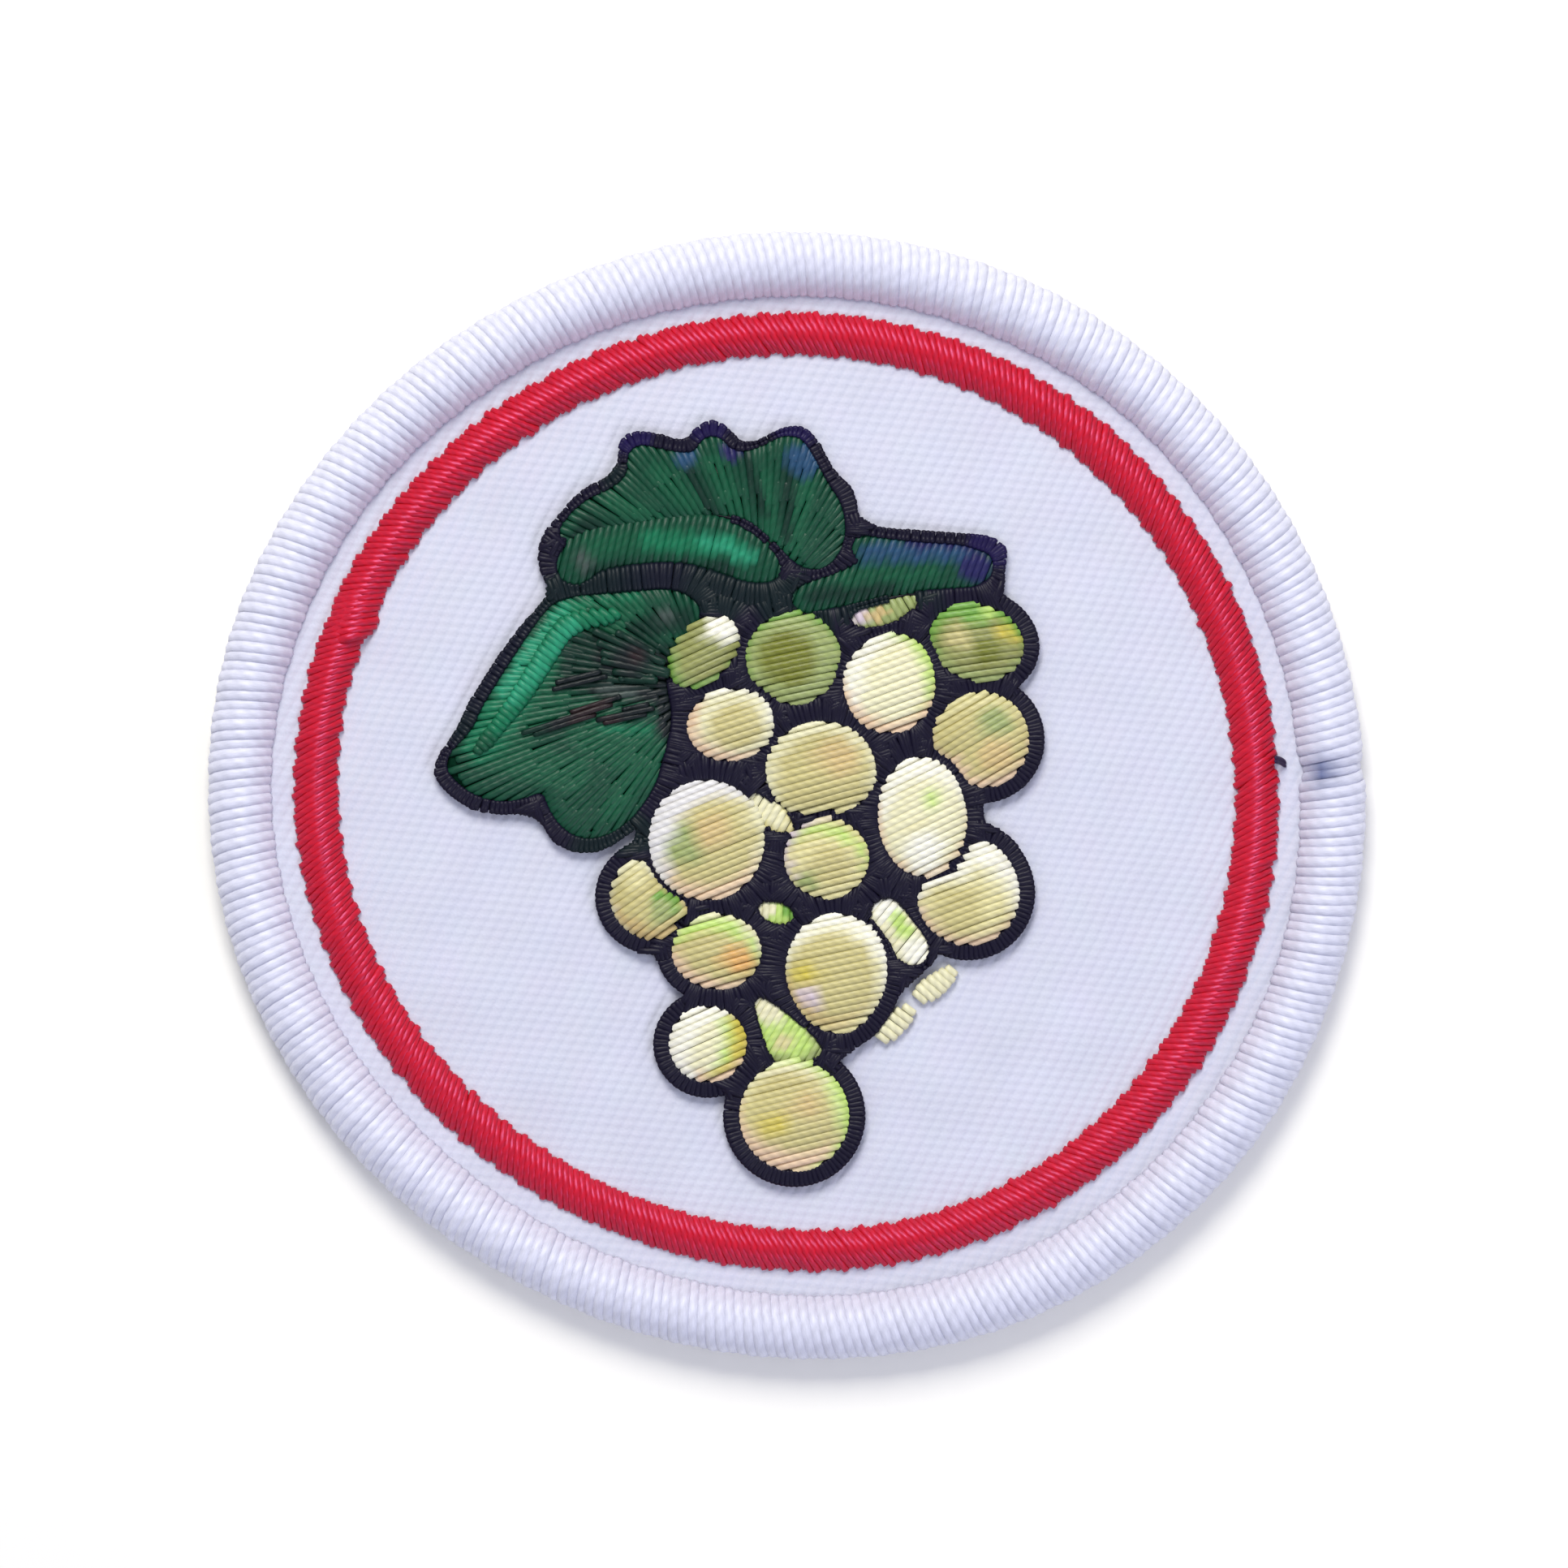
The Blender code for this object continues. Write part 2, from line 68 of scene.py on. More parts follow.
# %% Set up the studio
scene = bpy.context.scene
scene.view_settings.view_transform = "Standard"
CAMERA_HEIGHT = 0.60
VIEW_WIDTH = 0.0690
VIEW_CENTRE = (-0.0001, 0.0005)
camera = bpy.data.objects.new("camera", bpy.data.cameras.new("camera"))
camera.data.sensor_width = 36
camera.data.lens = 36 * CAMERA_HEIGHT / VIEW_WIDTH
camera.data.clip_start = 0.01
camera.location = (*VIEW_CENTRE, CAMERA_HEIGHT)
scene.collection.objects.link(camera)
scene.camera = camera

world = bpy.data.worlds.new("light_tent")
world.use_nodes = True
world.node_tree.nodes["Background"].inputs["Color"].default_value = (0.82, 0.84, 1, 1)
world.node_tree.nodes["Background"].inputs["Strength"].default_value = 0.56
scene.world = world


def add_lamp(name, place, size, watts, colour):
    """A square area lamp at place, in metres, turned towards the middle of the patch."""
    lamp = bpy.data.objects.new(name, bpy.data.lights.new(name, "AREA"))
    lamp.data.shape = "SQUARE"
    lamp.data.size = size
    lamp.data.energy = watts
    lamp.data.color = colour
    lamp.location = place
    lamp.rotation_euler = (-Vector(place)).to_track_quat("-Z", "Y").to_euler()
    scene.collection.objects.link(lamp)


add_lamp("key_lamp", (-0.04, 0.22, 0.24), 0.15, 0.86, (1, 0.98, 0.93))
add_lamp("fill_lamp", (0.11, -0.13, 0.15), 0.10, 0.11, (0.80, 0.82, 1))


def add_node(tree, kind, feeds, values, **settings):
    """A shader node with its settings, its own values and the outputs that feed it; gives its outputs."""
    node = tree.nodes.new("ShaderNode" + kind)
    for name, setting in settings.items():
        setattr(node, name, setting)
    for socket, value in values.items():
        node.inputs[socket].default_value = value
    for socket, output in feeds.items():
        tree.links.new(output, node.inputs[socket])
    return node.outputs


SPECKLE_SCALE = 900
SPECKLE_DARK = 0.99


def plain_material(name, colour, roughness):
    """A matt surface whose colour changes a little from place to place."""
    material = bpy.data.materials.new(name)
    material.use_nodes = True
    tree = material.node_tree
    place = add_node(tree, "TexCoord", {}, {})["Object"]
    speckle = add_node(tree, "TexNoise", {"Vector": place}, {"Scale": SPECKLE_SCALE})["Fac"]
    shades = {"A": (*[value * SPECKLE_DARK for value in colour], 1), "B": (*colour, 1)}
    tint = add_node(tree, "Mix", {"Factor": speckle}, shades, data_type="RGBA")["Result"]
    shader = tree.nodes["Principled BSDF"]
    tree.links.new(tint, shader.inputs["Base Color"])
    shader.inputs["Roughness"].default_value = roughness
    shader.inputs["Specular IOR Level"].default_value = 0.1
    return material


FLOOR_COLOUR = (0.99, 0.975, 0.90)
FLOOR_HALF = 1.2
floor_corners = [(x * FLOOR_HALF, y * FLOOR_HALF, 0) for x, y in ((-1, -1), (1, -1), (1, 1), (-1, 1))]
floor_mesh = bpy.data.meshes.new("floor")
floor_mesh.from_pydata(floor_corners, [], [(0, 1, 2, 3)])
floor_mesh.materials.append(plain_material("pale_floor", FLOOR_COLOUR, 0.8))
floor = bpy.data.objects.new("floor", floor_mesh)
scene.collection.objects.link(floor)

# %% [markdown]
# ## Outlines
#
# Each area of embroidery was designed as a flat pad. Its bottom face is the outline that the stitches must
# fill, so the outline is read back from the pad: the edges that only one bottom face uses, walked end to
# end. The alternative, drawing the outlines again here, would let the two scripts drift apart.

# %% Read a pad's outline
KEEP_DECIMALS = 4


def merged_triangles(node):
    """A CAD node's points in millimetres, with equal points made one, and its triangles."""
    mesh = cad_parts[node].data
    points = np.empty(len(mesh.vertices) * 3)
    mesh.vertices.foreach_get("co", points)
    mesh.calc_loop_triangles()
    corners = np.empty(len(mesh.loop_triangles) * 3, int)
    mesh.loop_triangles.foreach_get("vertices", corners)
    points = np.round(points.reshape(-1, 3) / MM, KEEP_DECIMALS)
    points, index = np.unique(points, axis=0, return_inverse=True)
    return points, index.reshape(-1)[corners].reshape(-1, 3)


def signed_area(loop):
    """Half the sum of the cross products of neighbouring points: positive if counter-clockwise."""
    following = np.roll(loop, -1, axis=0)
    return 0.5 * np.sum(loop[:, 0] * following[:, 1] - following[:, 0] * loop[:, 1])


def outlines_of(node):
    """The closed outlines of a pad's bottom face, the largest first, each counter-clockwise from above."""
    points, triangles = merged_triangles(node)
    floor_level = points[:, 2].min()
    bottom = triangles[(np.abs(points[triangles][:, :, 2] - floor_level) < 0.01).all(axis=1)]
    edges = np.concatenate([bottom[:, [0, 1]], bottom[:, [1, 2]], bottom[:, [2, 0]]])
    one_way = {tuple(edge) for edge in edges.tolist()}
    following = {b: a for a, b in one_way if (b, a) not in one_way}
    loops = []
    while following:
        start, here = following.popitem()
        loop = [start]
        while here != start:
            loop.append(here)
            here = following.pop(here)
        loops.append(points[loop][:, :2])
    loops = [loop if signed_area(loop) > 0 else loop[::-1] for loop in loops]
    return sorted(loops, key=lambda loop: -abs(signed_area(loop)))


def smoothed(loop, step=0.12, soften=0.12):
    """The outline at even steps, with its corners rounded: its Fourier terms fade as a bell curve."""
    closed = np.vstack([loop, loop[:1]])
    along = np.concatenate([[0], np.cumsum(np.linalg.norm(np.diff(closed, axis=0), axis=1))])
    count = max(24, int(along[-1] / step))
    even = np.linspace(0, along[-1], count, endpoint=False)
    line = np.interp(even, along, closed[:, 0]) + 1j * np.interp(even, along, closed[:, 1])
    waves = np.fft.fftfreq(count, along[-1] / count)
    line = np.fft.ifft(np.fft.fft(line) * np.exp(-2 * (math.pi * waves * soften) ** 2))
    return np.column_stack([line.real, line.imag])


def low_and_high(node):
    """The heights of a node's bottom and top, in millimetres."""
    low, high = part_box(node)
    return low.z / MM, high.z / MM


GROUND_TOP = low_and_high("ground_twill")[1]
stitched_nodes = [name for name in sorted(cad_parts) if low_and_high(name)[0] >= GROUND_TOP]
net_outer = outlines_of("outline_navy")[0]
ring_outer, ring_inner = outlines_of("red_ring")
filled_nodes = [name for name in stitched_nodes if name not in ("outline_navy", "red_ring")]
pads = {name: smoothed(outlines_of(name)[0]) for name in filled_nodes}
print(len(pads), "filled areas; the cloth's top is at", round(GROUND_TOP, 2), "mm")

# %% [markdown]
# ## One thread, and many at once
#
# A thread is a tube with an oval section, because tension presses it flat. All the threads of a piece are
# worked out together: the paths are one array, the section is swept along every path in the same few lines,
# and the faces follow from a counting rule. A curve object for each of some three thousand threads would be
# slow and heavy. The tube's own map runs along and around the thread, and an attribute carries its dye.

# %% Sweep tubes along many paths


def unit(vectors):
    """Vectors of length one."""
    return vectors / np.maximum(np.linalg.norm(vectors, axis=-1, keepdims=True), 1e-9)


def quads_of(*corners):
    """Four-cornered faces from four equal grids of point numbers, one for each corner in turn."""
    return np.stack(corners, axis=-1).reshape(-1, 4)


END_SHARE = 0.6


def thread_tubes(paths, side, width, height, colours, sides=6):
    """Tubes along n paths of k points.

    Each section is centre + side * cos(turn) * width / 2 + lift * sin(turn) * height / 2, with
    lift = side x direction, and it narrows at the two ends.
    """
    count, steps, _ = paths.shape
    direction = unit(np.gradient(paths, axis=1))
    side = unit(np.broadcast_to(side, paths.shape))
    lift = unit(np.cross(side, direction))
    turn = 2 * math.pi * (np.arange(sides) + 0.5) / sides
    narrow = np.ones(steps)
    narrow[[0, -1]] = END_SHARE
    wide = np.broadcast_to(width, (count,))[:, None] * narrow[None, :] / 2
    tall = np.broadcast_to(height, (count,))[:, None] * narrow[None, :] / 2
    sideways = side[:, :, None, :] * (np.cos(turn)[None, None, :, None] * wide[:, :, None, None])
    upwards = lift[:, :, None, :] * (np.sin(turn)[None, None, :, None] * tall[:, :, None, None])
    points = (paths[:, :, None, :] + (sideways + upwards)).reshape(-1, 3)
    number = np.arange(count * steps * sides).reshape(count, steps, sides)
    here, beyond = number[:, :-1], number[:, 1:]
    quads = quads_of(here, beyond, np.roll(beyond, -1, axis=2), np.roll(here, -1, axis=2))
    caps = np.concatenate([number[:, 0], number[:, -1, ::-1]])
    gaps = np.linalg.norm(np.diff(paths, axis=1), axis=2)
    along = np.concatenate([np.zeros((count, 1)), np.cumsum(gaps, axis=1)], axis=1)
    along = along + rng.uniform(0, 1, (count, 1))
    around = np.arange(sides + 1) / sides
    u = np.stack([along[:, :-1], along[:, 1:], along[:, 1:], along[:, :-1]], axis=-1)[:, :, None, :]
    v = np.stack([around[:-1], around[:-1], around[1:], around[1:]], axis=-1)
    quad_map = np.stack(np.broadcast_arrays(u, v), axis=-1).reshape(-1, 4, 2)
    cap_map = np.full((len(caps), sides, 2), 0.5)
    tints = np.broadcast_to(np.reshape(colours, (count, -1, 1, 3)), (count, steps, sides, 3)).reshape(-1, 3)
    return {"points": points, "faces": [quads, caps], "maps": [quad_map, cap_map], "tints": tints}


def add_piece(name, shells, material, stands_for=()):
    """Joins shells into one mesh, gives it its material, and ties it to the frame."""
    offset = 0
    corners, sizes, maps = [], [], []
    for shell in shells:
        for faces, face_map in zip(shell["faces"], shell["maps"]):
            corners.append((faces + offset).reshape(-1))
            sizes.append(np.full(len(faces), faces.shape[1]))
            maps.append(face_map.reshape(-1, 2))
        offset += len(shell["points"])
    corners, sizes, maps = np.concatenate(corners), np.concatenate(sizes), np.concatenate(maps)
    points = np.concatenate([shell["points"] for shell in shells]) * MM
    tints = np.concatenate([shell["tints"] for shell in shells])
    mesh = bpy.data.meshes.new(name)
    mesh.vertices.add(len(points))
    mesh.vertices.foreach_set("co", points.reshape(-1).astype(np.float32))
    mesh.loops.add(len(corners))
    mesh.loops.foreach_set("vertex_index", corners.astype(np.int32))
    mesh.polygons.add(len(sizes))
    starts = np.concatenate([[0], np.cumsum(sizes)[:-1]])
    mesh.polygons.foreach_set("loop_start", starts.astype(np.int32))
    mesh.update(calc_edges=True)
    mesh.validate()
    mesh.uv_layers.new(name="along_thread").data.foreach_set("uv", maps.reshape(-1).astype(np.float32))
    dye = mesh.color_attributes.new(name="dye", type="FLOAT_COLOR", domain="POINT")
    colours = np.column_stack([tints, np.ones(len(tints))])
    dye.data.foreach_set("color", colours.reshape(-1).astype(np.float32))
    mesh.polygons.foreach_set("use_smooth", np.ones(len(sizes), bool))
    mesh.materials.append(material)
    piece = bpy.data.objects.new(name, mesh)
    scene.collection.objects.link(piece)
    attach(piece, "root")
    if stands_for:
        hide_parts(*stands_for)
    print(f"{name}: {int((sizes - 2).sum())} triangles")
    return piece


# %% [markdown]
# ## Thread finishes
#
# Embroidery thread is two strands of bright rayon twisted together, so its gloss breaks into short slanted
# glints. The overlock thread is a fluffier polyester with less gloss. Both finishes read the dye from the
# thread's own attribute, and the twist from the map that runs along and around the thread: a sine of along
# / lay + around gives the slanted grooves, and a stretched noise gives the fine filaments.

# %% Make the thread finishes


def srgb(red, green, blue):
    """A colour given on a 0 to 255 scale, as the linear light that a shader takes."""
    share = np.array([red, green, blue]) / 255
    return np.where(share <= 0.04045, share / 12.92, ((share + 0.055) / 1.055) ** 2.4)


BUMP_DISTANCE = 0.03


def fibre_material(name, wave, fibres, groove_depth, shade, relief, roughness, gloss):
    """Fibres along the piece's own map: height = groove depth * sin(wave . map) + noise(stretch * map).

    The height bumps the surface and darkens the dye in the grooves, a painted shade. Gloss and sheen are set
    on the shader.
    """
    material = bpy.data.materials.new(name)
    material.use_nodes = True
    tree = material.node_tree
    stretch, scale, detail = fibres
    dye = add_node(tree, "Attribute", {}, {}, attribute_name="dye")["Color"]
    place = add_node(tree, "UVMap", {}, {}, uv_map="along_thread")["UV"]
    turns = add_node(tree, "VectorMath", {0: place}, {1: wave}, operation="DOT_PRODUCT")["Value"]
    groove = add_node(tree, "Math", {0: turns}, {}, operation="SINE")["Value"]
    stretched = add_node(tree, "VectorMath", {0: place}, {1: stretch}, operation="MULTIPLY")["Vector"]
    grain = {"Scale": scale, "Detail": detail}
    fibre = add_node(tree, "TexNoise", {"Vector": stretched}, grain, noise_dimensions="2D")["Fac"]
    raised = {0: groove, 2: fibre}
    height = add_node(tree, "Math", raised, {1: groove_depth}, operation="MULTIPLY_ADD")["Value"]
    shade = {"To Min": shade[0], "To Max": shade[1]}
    shading = add_node(tree, "MapRange", {"Value": height}, shade)["Result"]
    tinted = add_node(tree, "VectorMath", {0: dye, "Scale": shading}, {}, operation="SCALE")["Vector"]
    depth = {"Strength": relief, "Distance": BUMP_DISTANCE * MM}
    bump = add_node(tree, "Bump", {"Height": height}, depth)["Normal"]
    spread = {"To Min": roughness[0], "To Max": roughness[1]}
    rough = add_node(tree, "MapRange", {"Value": fibre}, spread)["Result"]
    shader = tree.nodes["Principled BSDF"]
    for socket, output in (("Base Color", tinted), ("Roughness", rough), ("Normal", bump)):
        tree.links.new(output, shader.inputs[socket])
    for socket, value in gloss.items():
        shader.inputs[socket].default_value = value
    return material


FILAMENTS = ((2.2, 14, 1), 1.6, 3)
# The dye is scaled between these shares by the height, a painted shade in the grooves of the twist.
THREAD_SHADE = (0.84, 1.06)
THREAD_RELIEF = 0.30


def thread_material(name, roughness, sheen, tint, gloss=0.5, glint=(1, 1, 1), lay=0.9, groove_depth=0.3):
    """A twisted thread: the groove turns twice round the thread in every length of lay."""
    wave = (4 * math.pi / lay, 4 * math.pi, 0)
    shine = {
        "Sheen Weight": sheen,
        "Sheen Roughness": 0.4,
        "Sheen Tint": (*tint, 1),
        "Specular IOR Level": gloss,
        "Specular Tint": (*glint, 1),
    }
    spread = (roughness - 0.06, roughness + 0.08)
    return fibre_material(name, wave, FILAMENTS, groove_depth, THREAD_SHADE, THREAD_RELIEF, spread, shine)


rayon_pale = thread_material("rayon_pale", 0.42, 0.06, (1, 1, 0.9))
rayon_green = thread_material("rayon_green", 0.40, 0.05, (0.3, 1, 0.65), 0.28)
rayon_red = thread_material("rayon_red", 0.38, 0.12, (1, 0.25, 0.60), 0.8, (1, 0.45, 1))
rayon_navy = thread_material("rayon_navy", 0.42, 0.0, (0.5, 0.5, 1), 0.22)
polyester_white = thread_material(
    "polyester_white", 0.45, 0.10, (1, 1, 1), 0.55, lay=1.5, groove_depth=0.16
)
print("thread finishes made")

# %% [markdown]
# ## Filling an area
#
# A machine fills an area with straight parallel stitches, each from one edge of the area to the other, and
# where the dye changes it ends one thread and starts the next. So the fill starts from straight lines laid
# across the area and keeps the stretches that lie inside. The dyes of a shaded area are blended from thread
# to thread, a little out of step with each other, as long and short stitches of two dyes look from arm's
# length.

# %% Tests on points


def inside_outline(points, loop):
    """True where a ray to the right crosses the outline an odd number of times."""
    x, y = points[:, 0:1], points[:, 1:2]
    ax, ay = loop[:, 0], loop[:, 1]
    bx, by = np.roll(ax, -1), np.roll(ay, -1)
    spans = (ay > y) != (by > y)
    rise = np.where(by == ay, 1e-12, by - ay)
    crossing = ax + (y - ay) * (bx - ax) / rise
    return (spans & (x < crossing)).sum(axis=1) % 2 == 1


def edge_distance(points, loop):
    """The distance from each point to the nearest side of the outline."""
    start = loop
    side = np.roll(loop, -1, axis=0) - start
    length = np.maximum((side**2).sum(axis=1), 1e-12)
    away = points[:, None, :] - start[None, :, :]
    share = np.clip((away * side).sum(axis=2) / length, 0, 1)
    return np.sqrt(((away - share[:, :, None] * side) ** 2).sum(axis=2).min(axis=1))


def crowned(loop, low, high, reach):
    """A padded surface: low at the outline, and rising as a quarter ellipse to high at reach from it."""

    def height(points):
        share = np.clip(edge_distance(points, loop) / reach, 0, 1)
        return low + (high - low) * np.sqrt(1 - (1 - share) ** 2)

    return height


# %% Lines across an area
LINE_STEP = 0.05
RAGGED_ENDS = 0.14
OPEN_CENTRE = 0.5


def hatch(loop, angle, pitch):
    """Parallel lines in one direction over the whole outline, as (line, sample, xy)."""
    heading = np.array([math.cos(math.radians(angle)), math.sin(math.radians(angle))])
    across = np.array([-heading[1], heading[0]])
    reach = np.array([loop @ heading, loop @ across])
    low, high = reach.min(axis=1), reach.max(axis=1)
    count = max(1, int((high[1] - low[1]) / pitch))
    rows = low[1] + (np.arange(count) + 0.5) * (high[1] - low[1]) / count
    rows = rows + rng.uniform(-0.05, 0.05, count) * pitch
    samples = np.arange(low[0] - LINE_STEP, high[0] + 2 * LINE_STEP, LINE_STEP)
    return rows[:, None, None] * across + samples[None, :, None] * heading


def fan(centre, first, last, near, far, pitch):
    """Rays round a centre between two angles and two radii, with staggered ends."""
    middle = (near + far) / 2
    count = max(2, int(math.radians(last - first) * middle / pitch))
    angle = np.radians(np.linspace(first, last, count) + rng.uniform(-0.3, 0.3, count))
    ragged = RAGGED_ENDS * (far - near)
    samples = np.linspace(0, 1, int((far - near) / LINE_STEP))
    start = near + rng.uniform(-ragged, ragged, count) * (near > OPEN_CENTRE)
    end = far + rng.uniform(-ragged, ragged, count)
    radius = start[:, None] + (end - start)[:, None] * samples
    heading = np.column_stack([np.cos(angle), np.sin(angle)])
    return np.array(centre) + radius[:, :, None] * heading[:, None, :]


# %% Cut the lines into stitches
SCRAP = 0.22


def stitch_runs(lines, loop, longest=9.0):
    """Starts, ends and edge marks of the stitches along lines inside an outline; a long one is split."""
    count, samples, _ = lines.shape
    inside = inside_outline(lines.reshape(-1, 2), loop).reshape(count, samples)
    found = []
    for row in range(count):
        step = np.linalg.norm(lines[row, 1] - lines[row, 0])
        marks = np.flatnonzero(np.diff(np.concatenate([[False], inside[row], [False]]).astype(int)))
        for start, end in marks.reshape(-1, 2):
            if (end - start) * step < SCRAP:
                continue
            parts = max(1, math.ceil((end - start) * step / longest))
            cuts = np.linspace(start, end, parts + 1)
            cuts[1:-1] += rng.uniform(-0.3, 0.3, parts - 1) * (end - start) / parts
            cuts = cuts.astype(int)
            opens, closes = start > 0, end < samples
            for part in range(parts):
                edges = (opens and part == 0, closes and part == parts - 1)
                found.append((row, cuts[part], cuts[part + 1] - 1, *edges))
    row, a, b, opens, closes = (np.array(column) for column in zip(*found))
    return lines[row, a], lines[row, b], np.column_stack([opens, closes])


# %% Lay the stitches
THREAD_WIDTH = 0.37
THREAD_HEIGHT = 0.20
PITCH = 0.29
EDGE_TUCK = 0.30
INNER_TUCK = 0.10
TONE_SPREAD = 0.03
RAGGED = 0.14
END_REACH = 0.03
SIDE_DRIFT = 0.015
bobbin_runs = []


def plan_points(starts, ends, points):
    """Points on straight lines, closer together near both ends: share = (1 - cos(pi t)) / 2."""
    share = (1 - np.cos(math.pi * np.linspace(0, 1, points))) / 2
    return starts[:, None, :] + (ends - starts)[:, None, :] * share[None, :, None], share


def lay_threads(plan, levels, tucks, colours, width=THREAD_WIDTH, height=THREAD_HEIGHT, sides=6):
    """Threads through plan points at the given top levels; both ends tuck down into the cloth."""
    heading = unit(plan[:, -1] - plan[:, 0])
    count = len(plan)
    first = np.column_stack([plan[:, 0] - heading * END_REACH, levels[:, 0] - tucks[:, 0]])
    last = np.column_stack([plan[:, -1] + heading * END_REACH, levels[:, -1] - tucks[:, 1]])
    middle = np.concatenate([plan, levels[:, :, None]], axis=2)
    paths = np.concatenate([first[:, None], middle, last[:, None]], axis=1)
    paths[:, :, 2] -= height / 2
    side = np.column_stack([heading[:, 1], -heading[:, 0], np.zeros(count)])
    paths[:, :, :2] += side[:, None, :2] * rng.uniform(-SIDE_DRIFT, SIDE_DRIFT, (count, 1, 1))
    tone = 1 + rng.normal(0, TONE_SPREAD, (count, 1, 1))
    widths = width * rng.uniform(0.95, 1.05, count)
    if colours.ndim == 2:
        colours = colours[:, None, :]
    else:
        colours = np.concatenate([colours[:, :1], colours, colours[:, -1:]], axis=1)
    return thread_tubes(paths, side[:, None, :], widths, height, colours * tone, sides)


def feathered(starts, ends, feather):
    """Both ends of every stitch carried past the edge by a random share of the feather."""
    beyond = rng.uniform(0, feather, (2, len(starts), 1)) * unit(ends - starts)
    return starts - beyond[0], ends + beyond[1]


def stitched_area(lines, loop, surface, dye_of, longest=9.0, width=THREAD_WIDTH, points=11, feather=0.0):
    """All the stitches of one area as a shell, following a padded surface.

    Each thread takes its dye a little out of step with the next. A feather carries its ends past the outline.
    """
    starts, ends, at_edge = stitch_runs(lines, loop, longest)
    if feather:
        starts, ends = feathered(starts, ends, feather)
    bobbin_runs.append((starts, ends))
    plan, _ = plan_points(starts, ends, points)
    levels = surface(plan.reshape(-1, 2)).reshape(len(plan), points)
    tucks = np.where(at_edge, EDGE_TUCK, INNER_TUCK)
    slip = rng.uniform(-RAGGED, RAGGED, (len(plan), 1, 1)) * unit(ends - starts)[:, None, :]
    colours = dye_of((plan + slip).reshape(-1, 2)).reshape(len(plan), points, 3)
    return lay_threads(plan, levels, tucks, colours, width)


# %% [markdown]
# ## Underlay
#
# Before the bright threads, a machine sews a low bed of thread that lifts them off the cloth. It shows only
# as darkness in the grooves, so one plain slab with the area's outline, a little smaller, is enough; its
# colour is the area's dye darkened, a painted shade.

# %% Make an underlay slab
INSET = 0.10


def outward(loop):
    """Unit normals that point out of a counter-clockwise outline."""
    tangent = unit(np.roll(loop, -1, axis=0) - np.roll(loop, 1, axis=0))
    return np.column_stack([tangent[:, 1], -tangent[:, 0]])


def inset_loop(loop, amount):
    """The outline moved inwards along its normals."""
    return loop - outward(loop) * amount


def dyed(colour, points):
    """One colour for every point."""
    return np.tile(colour, (len(points), 1))


def slab(loops, low, high, colour):
    """A closed slab between two heights: triangles above and below, and a wall round each outline."""
    rings = [[Vector((x, y, 0)) for x, y in loop] for loop in loops]
    triangles = np.array(tessellate_polygon(rings))
    plan = np.concatenate([np.array(ring)[:, :2] for ring in rings])
    a, b, c = (plan[triangles[:, corner]] for corner in range(3))
    turn = (b[:, 0] - a[:, 0]) * (c[:, 1] - a[:, 1]) - (b[:, 1] - a[:, 1]) * (c[:, 0] - a[:, 0])
    triangles = np.where((turn > 0)[:, None], triangles, triangles[:, ::-1])
    count = len(plan)
    points = np.column_stack([np.tile(plan, (2, 1)), np.repeat([low, high], count)])
    walls, offset = [], 0
    for loop in loops:
        here = np.arange(len(loop)) + offset
        beyond = np.roll(here, -1)
        walls.append(quads_of(here, beyond, beyond + count, here + count))
        offset += len(loop)
    faces = [np.concatenate(walls), np.concatenate([triangles + count, triangles[:, ::-1]])]
    maps = [points[group][:, :, :2] for group in faces]
    return {"points": points, "faces": faces, "maps": maps, "tints": dyed(colour, points)}


# %% [markdown]
# ## Grapes
#
# Each grape is a little cushion of satin stitch: a body dye, a pale crescent on the upper side towards the
# lamp, partly the design's pale thread and partly a painted highlight, and smaller patches of lime, olive or
# blush. A patch is described on the grape's own round chart, on which the outline is at radius 1: a crescent
# is what lies outside a circle shifted away from the light, and a spot is what lies inside a small circle.
# The threads then follow a dome, which gives each grape its real swell.

# %% Dyes for the grapes
DYES = {
    "ivory": srgb(248, 246, 226),
    "pearl": srgb(228, 226, 222),
    "cream": srgb(234, 230, 188),
    "straw": srgb(220, 212, 152),
    "khaki": srgb(200, 190, 126),
    "tan": srgb(206, 182, 122),
    "blush": srgb(233, 204, 168),
    "lilac": srgb(214, 198, 206),
    "lime": srgb(192, 222, 116),
    "leaf_lime": srgb(116, 168, 68),
    "pickle": srgb(156, 170, 104),
    "moss": srgb(146, 150, 84),
    "olive": srgb(116, 122, 32),
    "mustard": srgb(206, 190, 74),
    "orange": srgb(222, 172, 96),
}
SOFT_CHART = 0.26


def crescent(dye, angle, depth):
    """Outside the circle of radius 1 shifted away from the given direction by depth."""
    return dye, "crescent", angle, depth, 0


def spot(dye, angle, away, size):
    """Inside a circle of the given size, away from the middle in the given direction."""
    return dye, "spot", angle, away, size
